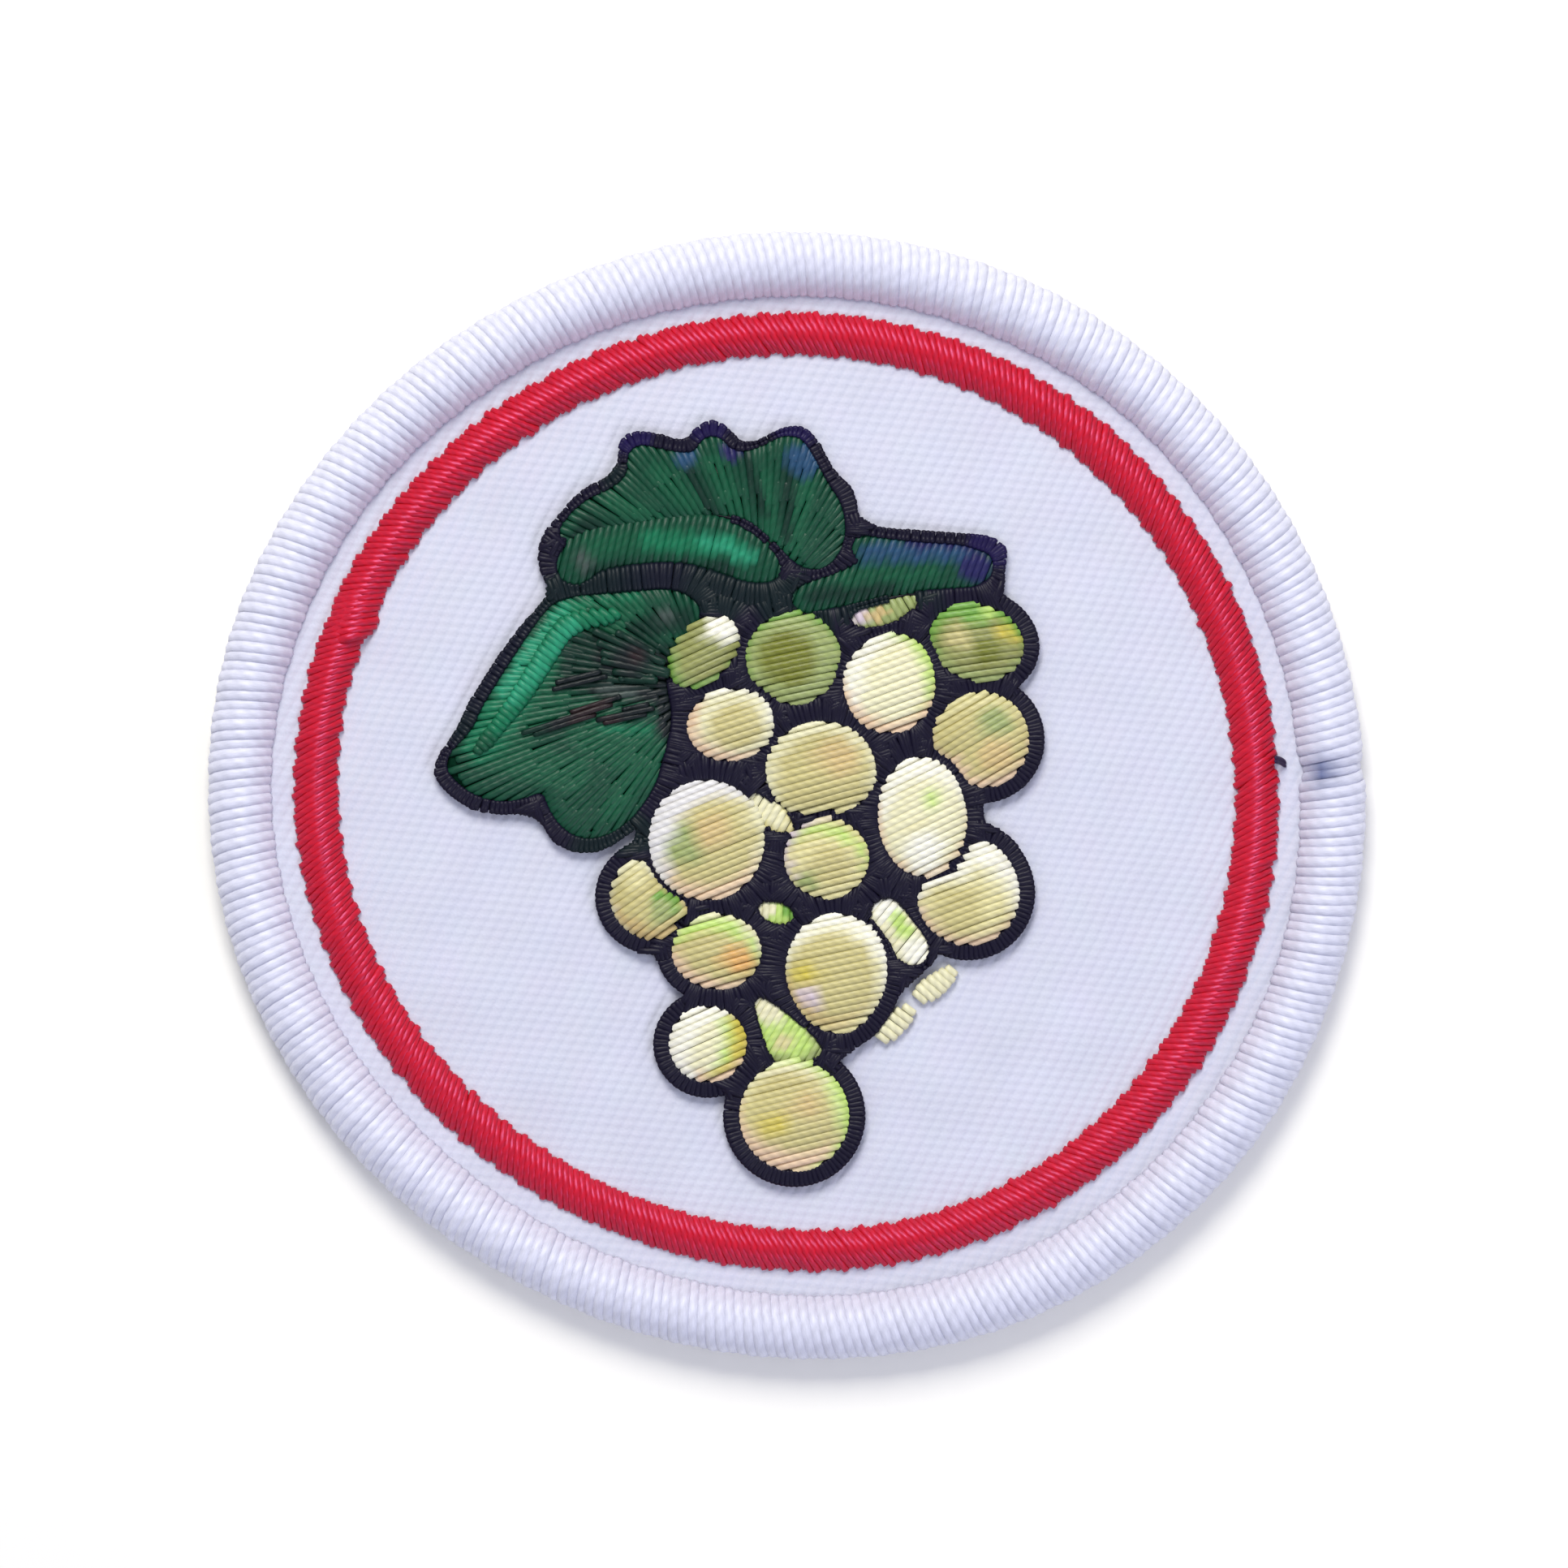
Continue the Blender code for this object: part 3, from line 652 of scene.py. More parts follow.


# The pale crescents and ivory spots on the upper side are partly the design's pale thread, partly a painted
# highlight.
GRAPE_DYES = {
    "grape_01": (25, "moss", [
        crescent("pickle", 225, 0.30), crescent("leaf_lime", 250, 0.12), spot("ivory", 52, 0.78, 0.42),
    ]),
    "grape_02": (12, "pickle", [spot("olive", 190, 0.12, 0.60), crescent("leaf_lime", 95, 0.10)]),
    "grape_03": (20, "cream", [
        crescent("ivory", 165, 0.42), crescent("lime", 8, 0.22), crescent("blush", 262, 0.26),
    ]),
    "grape_04": (8, "moss", [
        spot("khaki", 170, 0.40, 0.25), spot("olive", 300, 0.30, 0.30), crescent("pickle", 262, 0.26),
        spot("mustard", 20, 0.80, 0.28), crescent("leaf_lime", 92, 0.34),
        spot("leaf_lime", 95, 0.72, 0.34), spot("lime", 70, 0.85, 0.22),
    ]),
    "grape_05": (30, "khaki", [
        crescent("straw", 95, 0.28), spot("pickle", 50, 0.45, 0.34), spot("tan", 310, 0.45, 0.36),
        crescent("blush", 262, 0.20),
    ]),
    "grape_06": (18, "cream", [
        crescent("ivory", 70, 0.16), crescent("blush", 225, 0.30), spot("khaki", 330, 0.12, 0.62),
    ]),
    "grape_07": (15, "khaki", [
        spot("tan", 40, 0.35, 0.38), spot("khaki", 250, 0.40, 0.35), crescent("straw", 262, 0.18),
        crescent("cream", 128, 0.28), crescent("cream", 50, 0.20),
    ]),
    "grape_08": (22, "khaki", [
        spot("pickle", 190, 0.36, 0.36), spot("tan", 60, 0.15, 0.30), crescent("blush", 268, 0.26),
        crescent("cream", 40, 0.16), crescent("pearl", 138, 0.44),
    ]),
    "grape_09": (14, "straw", [
        spot("khaki", 300, 0.20, 0.50), crescent("lime", 75, 0.42), crescent("straw", 80, 0.20),
        crescent("lilac", 178, 0.16), spot("pickle", 232, 0.75, 0.26), crescent("straw", 275, 0.16),
    ]),
    "grape_10": (26, "cream", [
        spot("lime", 60, 0.36, 0.14), spot("straw", 250, 0.25, 0.14), crescent("ivory", 108, 0.36),
        crescent("blush", 255, 0.10), spot("ivory", 275, 0.58, 0.34),
    ]),
    "grape_11": (20, "straw", [
        spot("khaki", 235, 0.35, 0.48), crescent("blush", 262, 0.16), crescent("cream", 78, 0.60),
        crescent("ivory", 88, 0.40),
    ]),
    "grape_12": (35, "khaki", [
        spot("leaf_lime", 10, 0.60, 0.34), spot("pickle", 330, 0.40, 0.30),
        spot("straw", 110, 0.70, 0.32), crescent("tan", 255, 0.34), crescent("cream", 125, 0.14),
    ]),
    "grape_13": (16, "khaki", [
        spot("orange", 335, 0.48, 0.34), crescent("blush", 228, 0.28), crescent("lime", 80, 0.48),
        crescent("cream", 60, 0.18),
    ]),
    "grape_14": (12, "khaki", [
        spot("mustard", 188, 0.60, 0.24), spot("lilac", 222, 0.78, 0.26), crescent("tan", 272, 0.24),
        crescent("straw", 330, 0.22), crescent("cream", 80, 0.34), crescent("cream", 35, 0.24),
        crescent("ivory", 78, 0.26),
    ]),
    "grape_15": (24, "cream", [
        crescent("lime", 352, 0.62), crescent("mustard", 345, 0.42), crescent("blush", 262, 0.24),
        crescent("ivory", 150, 0.62),
    ]),
    "grape_16": (14, "khaki", [
        spot("tan", 40, 0.30, 0.22), spot("mustard", 205, 0.38, 0.20), crescent("straw", 180, 0.20),
        crescent("blush", 262, 0.34), crescent("cream", 60, 0.26), crescent("lime", 20, 0.18),
    ]),
}


def chart_of(loop):
    """Turns points into the area's own chart: same direction, distance divided by the outline's."""
    centre = loop.mean(axis=0)
    away = loop - centre
    angle = np.arctan2(away[:, 1], away[:, 0])
    order = np.argsort(angle)
    angle, radius = angle[order], np.linalg.norm(away, axis=1)[order]

    def chart(points):
        offset = points - centre
        turn = np.arctan2(offset[:, 1], offset[:, 0])
        return offset / np.interp(turn, angle, radius, period=2 * math.pi)[:, None]

    return chart


def soft_edge(excess):
    """A smooth step from 0 to 1 round zero: 3 w^2 - 2 w^3."""
    weight = np.clip(0.5 + excess, 0, 1)
    return (weight * weight * (3 - 2 * weight))[:, None]


def patch_dyes(loop, body, patches):
    """The dye at each point: the body first, then each patch over it with a soft edge."""
    chart = chart_of(loop)

    def dye_of(points):
        place = chart(points)
        colour = dyed(DYES[body], points)
        for dye, kind, angle, away, size in patches:
            towards = np.array([math.cos(math.radians(angle)), math.sin(math.radians(angle))])
            if kind == "crescent":
                excess = np.linalg.norm(place + away * towards, axis=1) - 1
            else:
                excess = size - np.linalg.norm(place - away * towards, axis=1)
            colour = colour + soft_edge(excess / SOFT_CHART) * (DYES[dye] - colour)
        return colour

    return dye_of


# %% Sew the grapes
GRAPE_SHOULDER_RISE = 0.30
GRAPE_BED_RISE = 0.20
SWELL_SHARE = 0.95
# The underlay beds take their dye darkened by this share, a painted shade in the grooves between threads.
GROOVE_SHADE = 0.55


GRAPE_GROWTH = 0.09
EXTRA_GROWTH = {"grape_08": 0.12, "grape_13": 0.06}

for node, (angle, body, patches) in GRAPE_DYES.items():
    loop = pads[node] = inset_loop(pads[node], -GRAPE_GROWTH - EXTRA_GROWTH.get(node, 0))
    low, high = low_and_high(node)
    swell = edge_distance(loop.mean(axis=0)[None], loop)[0] * SWELL_SHARE
    surface = crowned(loop, low + GRAPE_SHOULDER_RISE, high, swell)
    shell = stitched_area(hatch(loop, angle, PITCH), loop, surface, patch_dyes(loop, body, patches))
    bed = slab([inset_loop(loop, INSET)], low, low + GRAPE_BED_RISE, DYES[body] * GROOVE_SHADE)
    add_piece(f"stitches_{node}", [shell, bed], rayon_pale, [node])

# %% [markdown]
# ## Slivers and loose fill
#
# Between the grapes, slivers of the grapes behind show through, and beside the lowest right grape two short
# tufts of pale fill lie on the bare cloth with no dark line round them. They are too narrow for a dome: the
# stitches run straight across the short way, so each area's own long axis (the main axis of its points)
# sets the angle.

# %% Sew the slivers
SLIVER_DYES = {
    "sliver_leafward": ("pickle", [spot("lilac", 190, 0.70, 0.26), spot("tan", 180, 0.20, 0.34)]),
    "sliver_middle": ("cream", [crescent("straw", 300, 0.4)]),
    "sliver_right": ("cream", [
        spot("ivory", 120, 0.75, 0.40), spot("lime", 60, 0.22, 0.42), spot("ivory", 305, 0.70, 0.38),
    ]),
    "sliver_small": ("lime", [spot("cream", 170, 0.55, 0.50), spot("leaf_lime", 0, 0.75, 0.40)]),
    "sliver_tail": ("lime", [
        spot("cream", 120, 0.75, 0.40), spot("straw", 250, 0.30, 0.30), crescent("pickle", 300, 0.30),
    ]),
    "loose_fill_upper": ("cream", []),
    "loose_fill_lower": ("cream", []),
}
SATIN_SLANT = 14


def across_angle(loop):
    """The direction across an area's long axis, in degrees, with a little slant."""
    offset = loop - loop.mean(axis=0)
    _, _, axes = np.linalg.svd(offset, full_matrices=False)
    return math.degrees(math.atan2(axes[0, 1], axes[0, 0])) + 90 + SATIN_SLANT


SLIVER_GROWTH = 0.24
SLIVER_SHOULDER_RISE = 0.20
SLIVER_BED_RISE = 0.12
SLIVER_ROUND = 0.5

for node, (body, patches) in SLIVER_DYES.items():
    loop = pads[node] = inset_loop(pads[node], -SLIVER_GROWTH)
    low, high = low_and_high(node)
    surface = crowned(loop, low + SLIVER_SHOULDER_RISE, high, SLIVER_ROUND)
    lines = hatch(loop, across_angle(loop), PITCH)
    shell = stitched_area(lines, loop, surface, patch_dyes(loop, body, patches))
    bed = slab([inset_loop(loop, INSET)], low, low + SLIVER_BED_RISE, DYES[body] * GROOVE_SHADE)
    add_piece(f"stitches_{node}", [shell, bed], rayon_pale, [node])

# %% [markdown]
# ## Leaves and stem
#
# Leaves are filled with rows of short stitches that fan out from where the stalk would join, so the threads
# follow the growth of the leaf. Each row overlaps the next with long and short ends. Several greens are
# mixed in: streaks that radiate with the rays, a bright crest on the folded edge, and nearly black shade
# under the fold.

# %% Dyes for the leaves
GREENS = {
    "deep": srgb(8, 46, 34),
    "forest": srgb(14, 70, 48),
    "fern": srgb(18, 84, 56),
    "spring": srgb(20, 112, 76),
    "mint": srgb(40, 146, 108),
    "shade": srgb(14, 24, 26),
    "steel": srgb(38, 74, 106),
    "ink": srgb(34, 32, 84),
    "smoke": srgb(70, 84, 78),
    "bark": srgb(40, 26, 28),
    "night": srgb(17, 13, 36),
    "pine": srgb(10, 26, 30),
    "indigo": srgb(26, 16, 66),
}
SOFT_GREEN = 0.45


def disc(dye, x, y, radius):
    """Points within a radius of a place, in millimetres."""
    return dye, lambda points: radius - np.hypot(points[:, 0] - x, points[:, 1] - y)


def band(dye, ax, ay, bx, by, half):
    """Points within half a width of the line from a to b."""
    start, run = np.array([ax, ay]), np.array([bx - ax, by - ay])

    def excess(points):
        share = np.clip((points - start) @ run / (run @ run), 0, 1)
        return half - np.linalg.norm(points - start - share[:, None] * run, axis=1)

    return dye, excess


def green_dyes(body, patches):
    """The body green first, then each patch over it with a soft edge."""

    def dye_of(points):
        colour = dyed(GREENS[body], points)
        for dye, excess in patches:
            colour = colour + soft_edge(excess(points) / SOFT_GREEN) * (GREENS[dye] - colour)
        return colour

    return dye_of


LEAF_SHOULDER_RISE = 0.18
LEAF_ROUND = 0.7
LEAF_GROWTH = 0.42
for name in ("leaf_upper", "leaf_fold", "leaf_lower", "stem"):
    pads[name] = inset_loop(pads[name], -LEAF_GROWTH)


def sew_leaf(node, layers, patches):
    """One piece of leaf: its layers of stitches over a pad that is flat on top and rounded at the edge."""
    loop = pads[node]
    low, high = low_and_high(node)
    shoulder = low + LEAF_SHOULDER_RISE
    surface = crowned(loop, shoulder, high, LEAF_ROUND)
    dyes = green_dyes("forest", patches)
    shells = [stitched_area(lines, loop, surface, dyes) for lines in layers]
    bed = slab([inset_loop(loop, INSET)], low, shoulder, GREENS["forest"] * GROOVE_SHADE)
    add_piece(f"stitches_{node}", [*shells, bed], rayon_green, [node])


# %% Sew the upper leaf
UPPER_PATCHES = [
    band("fern", -2.2, 10.8, -5.6, 14.2, 0.45),
    band("fern", -1.4, 11.0, -3.2, 14.6, 0.40),
    band("fern", -0.6, 11.0, -1.0, 14.0, 0.36),
    band("fern", 0.3, 10.8, 0.9, 13.6, 0.36),
    band("fern", -3.4, 10.9, -7.6, 12.9, 0.40),
    band("deep", -1.0, 12.4, -2.0, 15.4, 0.26),
    band("deep", 0.0, 11.4, 0.1, 14.6, 0.26),
    band("deep", -3.0, 12.0, -4.4, 14.6, 0.24),
    disc("deep", -8.6, 11.4, 0.8),
    disc("steel", 0.7, 14.7, 0.75),
    disc("steel", -4.4, 14.9, 0.5),
    disc("ink", -2.4, 15.2, 0.5),
]
UPPER_CENTRE = (-1.0, 8.2)
UPPER_RINGS = ((1.0, 3.6), (3.0, 5.4), (4.8, 7.2), (6.6, 10.5))
upper_layers = (fan(UPPER_CENTRE, 5, 178, near, far, PITCH) for near, far in UPPER_RINGS)
sew_leaf("leaf_upper", upper_layers, UPPER_PATCHES)

# %% Sew the folded edge of the upper leaf
FOLD_PATCHES = [
    band("fern", -8.6, 10.9, -4.6, 11.3, 0.45),
    band("spring", -6.0, 11.2, -2.2, 10.9, 0.42),
    band("mint", -3.6, 11.2, -1.6, 10.5, 0.30),
    band("deep", -8.6, 9.8, -2.6, 9.9, 0.34),
    disc("smoke", -8.9, 10.3, 0.4),
    disc("shade", -4.6, 9.7, 0.5),
]
sew_leaf("leaf_fold", [hatch(pads["leaf_fold"], 76, PITCH)], FOLD_PATCHES)

# %% Sew the lower leaf
LOWER_PATCHES = [
    band("fern", -12.4, 3.0, -8.4, 7.4, 1.3),
    band("fern", -13.4, 2.0, -9.4, 1.0, 0.8),
    band("fern", -8.6, 3.0, -6.0, 1.6, 1.1),
    band("fern", -7.6, -0.6, -5.6, 2.6, 0.5),
    band("spring", -13.4, 2.2, -9.6, 7.7, 0.75),
    band("spring", -9.6, 7.9, -6.8, 8.4, 0.45),
    band("mint", -12.4, 4.6, -9.8, 8.0, 0.35),
    band("deep", -9.4, 5.2, -5.4, 4.6, 0.55),
    band("deep", -8.8, 6.1, -5.2, 5.5, 1.15),
    band("shade", -7.8, 6.0, -5.4, 5.6, 0.60),
    band("shade", -5.2, 5.4, -5.2, 2.8, 0.45),
    band("shade", -8.2, 4.6, -5.6, 4.4, 0.30),
    band("deep", -6.4, 7.2, -4.6, 7.8, 0.5),
    band("fern", -8.4, 8.0, -6.6, 8.2, 0.4),
    band("smoke", -8.0, 4.6, -6.6, 4.4, 0.16),
    band("spring", -8.2, 2.9, -6.0, 2.9, 0.16),
    disc("smoke", -5.3, 7.9, 0.35),
]
LOWER_CENTRE = (-3.4, 4.9)
LOWER_RINGS = ((0.8, 3.0), (2.4, 4.8), (4.2, 6.6), (6.0, 8.4), (7.8, 12.0))
lower_layers = (fan(LOWER_CENTRE, 95, 275, near, far, PITCH) for near, far in LOWER_RINGS)
sew_leaf("leaf_lower", lower_layers, LOWER_PATCHES)

# %% Sew the stem
STEM_PATCHES = [
    band("fern", 2.6, 9.6, 6.4, 9.7, 0.30),
    band("deep", 1.2, 8.8, 4.4, 9.0, 0.35),
    band("steel", 3.6, 10.7, 7.8, 10.6, 0.40),
    band("ink", 5.4, 11.1, 8.6, 11.0, 0.25),
    disc("ink", 8.3, 10.0, 0.7),
]
sew_leaf("stem", [hatch(pads["stem"], 68, PITCH)], STEM_PATCHES)

# %% [markdown]
# ## Overstitching on the leaves
#
# The bright rim of the lower leaf, its shaded base and its three veins are sewn last, over the finished
# fill, so they stand a thread higher. The rim is a satin column across the edge; the shade follows the rays
# of the leaf; each vein is two or three fine runs along its own length, which read as one dark line.

# %% Sew the overstitching
OVERSTITCH = {
    "leaf_edge_light": ("spring", [
        band("mint", -12.2, 4.2, -9.4, 7.4, 0.34), disc("fern", -13.4, 2.2, 0.7),
    ], "light_green_thread", -38),
    "leaf_base_shade": ("deep", [
        disc("shade", -6.8, 6.0, 0.75), disc("bark", -6.6, 6.1, 0.3),
    ], "brown_thread", None),
    "vein_middle": ("shade", [
        disc("deep", -12.0, 2.6, 1.6), disc("bark", -8.6, 3.6, 1.0),
    ], "brown_thread", 18),
    "vein_upper": ("shade", [], "brown_thread", 14),
    "vein_lower": ("shade", [
        disc("deep", -8.9, 2.4, 0.9), disc("bark", -7.6, 3.0, 0.5),
    ], "brown_thread", 12),
}
OVERSTITCH_RISE = 0.02
OVERSTITCH_ROUND = 0.35
SHADE_RING = (1.6, 6.4)
VEIN_PITCH = 0.19
VEIN_WIDTH = 0.27
FEATHER = {"leaf_base_shade": 0.9, "vein_upper": 0.35, "vein_middle": 0.45, "vein_lower": 0.35}

for node, (body, patches, slot, angle) in OVERSTITCH.items():
    loop = pads[node]
    low, high = low_and_high(node)
    surface = crowned(loop, low + OVERSTITCH_RISE, high, OVERSTITCH_ROUND)
    pitch, width = (VEIN_PITCH, VEIN_WIDTH) if node.startswith("vein") else (PITCH, THREAD_WIDTH)
    lines = fan(LOWER_CENTRE, 95, 275, *SHADE_RING, PITCH) if angle is None else hatch(loop, angle, pitch)
    dyes = green_dyes(body, patches)
    shell = stitched_area(lines, loop, surface, dyes, width=width, feather=FEATHER.get(node, 0.0))
    add_piece(f"stitches_{node}", [shell], rayon_green, [node])

# %% [markdown]
# ## The dark outline
#
# Every grape and leaf is edged by a narrow satin column of navy thread, whose stitches lie at right angles
# to the edge. From each pocket of the dark net a ray goes outwards until it leaves the net, either into a
# neighbouring pocket or past the outer edge, and one stitch spans exactly that. Where two pockets share a
# gap, only the larger of the two sews it. A slab under the stitches, darker than the thread as a painted
# shade, closes the corners where three columns meet. The dye is greener beside the leaves and bluer at
# their tips and at the end of the stem.

# %% Measure the spans of the outline stitches
OUTLINE_PITCH = 0.22
RAY_STEP = 0.04
LONGEST_REACH = 1.5
OUTLINE_LAP = 0.03
OUTLINE_SAMPLE = 0.09
REACH_INTO_NET = 0.95
SHORTEST_SPAN = 0.12
NEAREST_REACH = 0.08
THE_NET, OUTSIDE = -1, -2
outer_edge = smoothed(net_outer, soften=0.20)
in_net = [name for name in pads if name not in OVERSTITCH and not name.startswith("loose_fill")]
pockets = [smoothed(pads[name], OUTLINE_SAMPLE, 0.08) for name in in_net]
pockets.sort(key=lambda loop: -signed_area(loop))


def evenly_spread(starts, ends, pitch):
    """Which of many neighbouring spans to sew, so that the farther-apart ends are a pitch apart."""
    moves = [np.linalg.norm(side - np.roll(side, 1, axis=0), axis=1) for side in (starts, ends)]
    run = np.cumsum(np.minimum(np.maximum(*moves), pitch))
    count = max(3, round(run[-1] / pitch))
    return np.unique(np.searchsorted(run, (np.arange(count) + 0.5) * run[-1] / count))


def outline_spans():
    """Starts and ends of the outline stitches of every pocket."""
    starts, ends = [], []
    reach = np.arange(NEAREST_REACH, LONGEST_REACH, RAY_STEP)
    for own, loop in enumerate(pockets):
        normal = outward(loop)
        samples = (loop[:, None, :] + normal[:, None, :] * reach[None, :, None]).reshape(-1, 2)
        owner = np.where(inside_outline(samples, outer_edge), THE_NET, OUTSIDE)
        for other, pocket in enumerate(pockets):
            owner[inside_outline(samples, pocket)] = other
        owner = owner.reshape(len(loop), len(reach))
        left = owner != THE_NET
        ended = left.any(axis=1)
        steps = np.where(ended, left.argmax(axis=1), len(reach) - 1)
        into = owner[np.arange(len(loop)), steps]
        length = np.where(ended, reach[steps], REACH_INTO_NET)
        near = loop - normal * OUTLINE_LAP
        far = loop + normal * (length[:, None] + OUTLINE_LAP * (into >= 0)[:, None])
        chosen = evenly_spread(near, far, OUTLINE_PITCH)
        keep = ((into == OUTSIDE) | (into > own) | ~ended) & (length > SHORTEST_SPAN)
        chosen = chosen[keep[chosen]]
        starts.append(near[chosen])
        ends.append(far[chosen])
    return np.concatenate(starts), np.concatenate(ends)


outline_starts, outline_ends = outline_spans()
print(len(outline_starts), "outline stitches")

# %% Sew the outline
OUTLINE_PATCHES = [
    band("pine", -13.6, 2.2, -9.4, 8.6, 1.0),
    band("pine", -9.6, 9.0, -7.0, 13.6, 0.9),
    band("pine", -9.4, 8.8, 0.5, 8.8, 0.8),
    band("pine", -8.8, -1.6, -5.4, -1.8, 0.8),
    band("pine", 1.0, 8.0, 6.4, 9.0, 0.6),
    disc("indigo", -6.6, 15.5, 0.7),
    disc("indigo", -3.4, 16.0, 0.7),
    disc("indigo", 0.3, 15.6, 0.8),
    disc("indigo", 9.0, 11.0, 1.0),
]
# The bed under the outline is darker than its thread, a painted shade in the corners.
OUTLINE_BED_DYE = srgb(10, 8, 20)
OUTLINE_THREAD = {"width": 0.30, "height": 0.16}
OUTLINE_SHOULDER = 0.44
OUTLINE_BED_RISE = 0.25
FLATTENING = 0.30
OUTLINE_FULLNESS = 0.7
OUTLINE_TUCK = 0.25
OUTLINE_BED_INSET = 0.08
net_low, net_high = low_and_high("outline_navy")
outline_plan, outline_share = plan_points(outline_starts, outline_ends, 7)
span = np.linalg.norm(outline_ends - outline_starts, axis=1)
crown = net_high - FLATTENING * np.clip(1.0 - span, 0, 1)
shoulder = net_low + OUTLINE_SHOULDER
outline_levels = shoulder + (crown - shoulder)[:, None] * np.sin(math.pi * outline_share) ** OUTLINE_FULLNESS
outline_tucks = np.full((len(span), 2), OUTLINE_TUCK)
outline_dyes = green_dyes("night", OUTLINE_PATCHES)(outline_plan.mean(axis=1))
outline_threads = lay_threads(outline_plan, outline_levels, outline_tucks, outline_dyes, **OUTLINE_THREAD)
bed_loops = [inset_loop(outer_edge, OUTLINE_BED_INSET)] + [loop[::-1] for loop in pockets]
outline_bed = slab(bed_loops, net_low, net_low + OUTLINE_BED_RISE, OUTLINE_BED_DYE)
add_piece("stitches_outline", [outline_threads, outline_bed], rayon_navy, ["outline_navy"])
bobbin_runs.append((outline_starts, outline_ends))

# %% [markdown]
# ## The red ring
#
# The ring is one long satin column. Its stitches slant, and every few of them reach a little further, which
# makes the fine teeth along its edges. The column starts and ends at the same place, where it overlaps
# itself and runs slightly inwards.

# %% Work in polar form


def radius_of(loop):
    """The distance from the origin to an outline, as a function of the angle in radians."""
    angle = np.arctan2(loop[:, 1], loop[:, 0])
    order = np.argsort(angle)
    radius = np.hypot(loop[:, 0], loop[:, 1])[order]
    return lambda turn: np.interp(turn, angle[order], radius, period=2 * math.pi)


RING_DYE = srgb(200, 8, 14)
RING_SLANT = math.radians(1.6)
RING_START = math.radians(155)
RING_OVERLAP = math.radians(5)
RING_TOOTH = 0.07
RING_UNEVEN = 0.03
RING_FULLNESS = 0.95
RING_TUCK = 0.22
RING_TEETH_EVERY = 3.6
RING_MIDDLE = 20.45
RING_JOIN_INSET = 0.30
RING_JOIN_RISE = 0.18
RING_SHOULDER = 0.12
RING_BED_RISE = 0.16
RING_BED_INSET = 0.12
RING_BED_OPENING = 1.006
# The ring's bed takes the red darkened by this share, a painted shade in the grooves.
BED_SHADE = 0.4
outer_radius, inner_radius = radius_of(ring_outer), radius_of(ring_inner)
ring_count = int((2 * math.pi + RING_OVERLAP) * RING_MIDDLE / PITCH)
ring_run = np.linspace(0, 2 * math.pi + RING_OVERLAP, ring_count)
ring_angle = RING_START + ring_run
teeth = np.cos(2 * math.pi * np.arange(ring_count) / RING_TEETH_EVERY)
ring_tooth = RING_TOOTH * teeth + rng.normal(0, RING_UNEVEN, ring_count)
closing = np.clip((ring_run - 2 * math.pi) / RING_OVERLAP, 0, 1)
doubled = closing + np.clip(1 - ring_run / RING_OVERLAP, 0, 1)
ring_inset = RING_JOIN_INSET * doubled * (ring_run > math.pi)


def polar(radius, angle):
    """Points from radii and angles."""
    return np.column_stack([radius * np.cos(angle), radius * np.sin(angle)])


ring_starts = polar(inner_radius(ring_angle) - ring_tooth - ring_inset, ring_angle - RING_SLANT)
ring_ends = polar(outer_radius(ring_angle) + ring_tooth - ring_inset, ring_angle + RING_SLANT)
ring_low, ring_high = low_and_high("red_ring")
ring_plan, ring_share = plan_points(ring_starts, ring_ends, 9)
ring_crown = ring_high + RING_JOIN_RISE * (ring_run > 2 * math.pi - RING_OVERLAP) * doubled
ring_shoulder = ring_low + RING_SHOULDER
ring_arch = np.sin(math.pi * ring_share) ** RING_FULLNESS
ring_levels = ring_shoulder + (ring_crown - ring_shoulder)[:, None] * ring_arch
ring_tucks = np.full((ring_count, 2), RING_TUCK)
ring_threads = lay_threads(ring_plan, ring_levels, ring_tucks, dyed(RING_DYE, ring_plan))
ring_loops = [inset_loop(ring_outer, RING_BED_INSET), (ring_inner * RING_BED_OPENING)[::-1]]
ring_bed = slab(ring_loops, ring_low, ring_low + RING_BED_RISE, RING_DYE * BED_SHADE)
add_piece("stitches_ring", [ring_threads, ring_bed], rayon_red, ["red_ring"])

# %% [markdown]
# ## The twill cloth
#
# Twill shows fine slanted ribs. A square grid fine enough for them would be far too heavy, so the grid runs
# with the ribs: coarse along them and fine across them. A chord map turns the square into the disc: along
# every straight line at height v the other coordinate is scaled by the half chord, sqrt(1 - v^2).

# %% Weave the cloth
RIB_PITCH = 0.50
RIB_DEPTH = 0.045
RIB_ANGLE = math.radians(62)
RIB_WANDER = 0.05
CLOTH_SWELL = 0.012
CLOTH_FIBRES = ((1, 1, 1), 9, 4)
# The cloth's dye is scaled between these shares by the weave's height, a painted shade in its hollows.
CLOTH_SHADE = (0.93, 1.03)
CLOTH_DYE = srgb(210, 212, 225)
ROWS, COLUMNS = 780, 100
ground_radius = radius_of(outlines_of("ground_twill")[0])
ground_low, ground_high = low_and_high("ground_twill")
v = np.linspace(-0.999, 0.999, ROWS)
u = np.linspace(-1, 1, COLUMNS)
chart_x = u[None, :] * np.sqrt(1 - v**2)[:, None]
chart_y = np.broadcast_to(v[:, None], chart_x.shape)
turn = np.arctan2(chart_y, chart_x) + RIB_ANGLE
reach = np.hypot(chart_x, chart_y) * ground_radius(turn)
cloth_x, cloth_y = reach * np.cos(turn), reach * np.sin(turn)
along_rib = cloth_x * math.cos(RIB_ANGLE) + cloth_y * math.sin(RIB_ANGLE)
across_rib = cloth_y * math.cos(RIB_ANGLE) - cloth_x * math.sin(RIB_ANGLE)


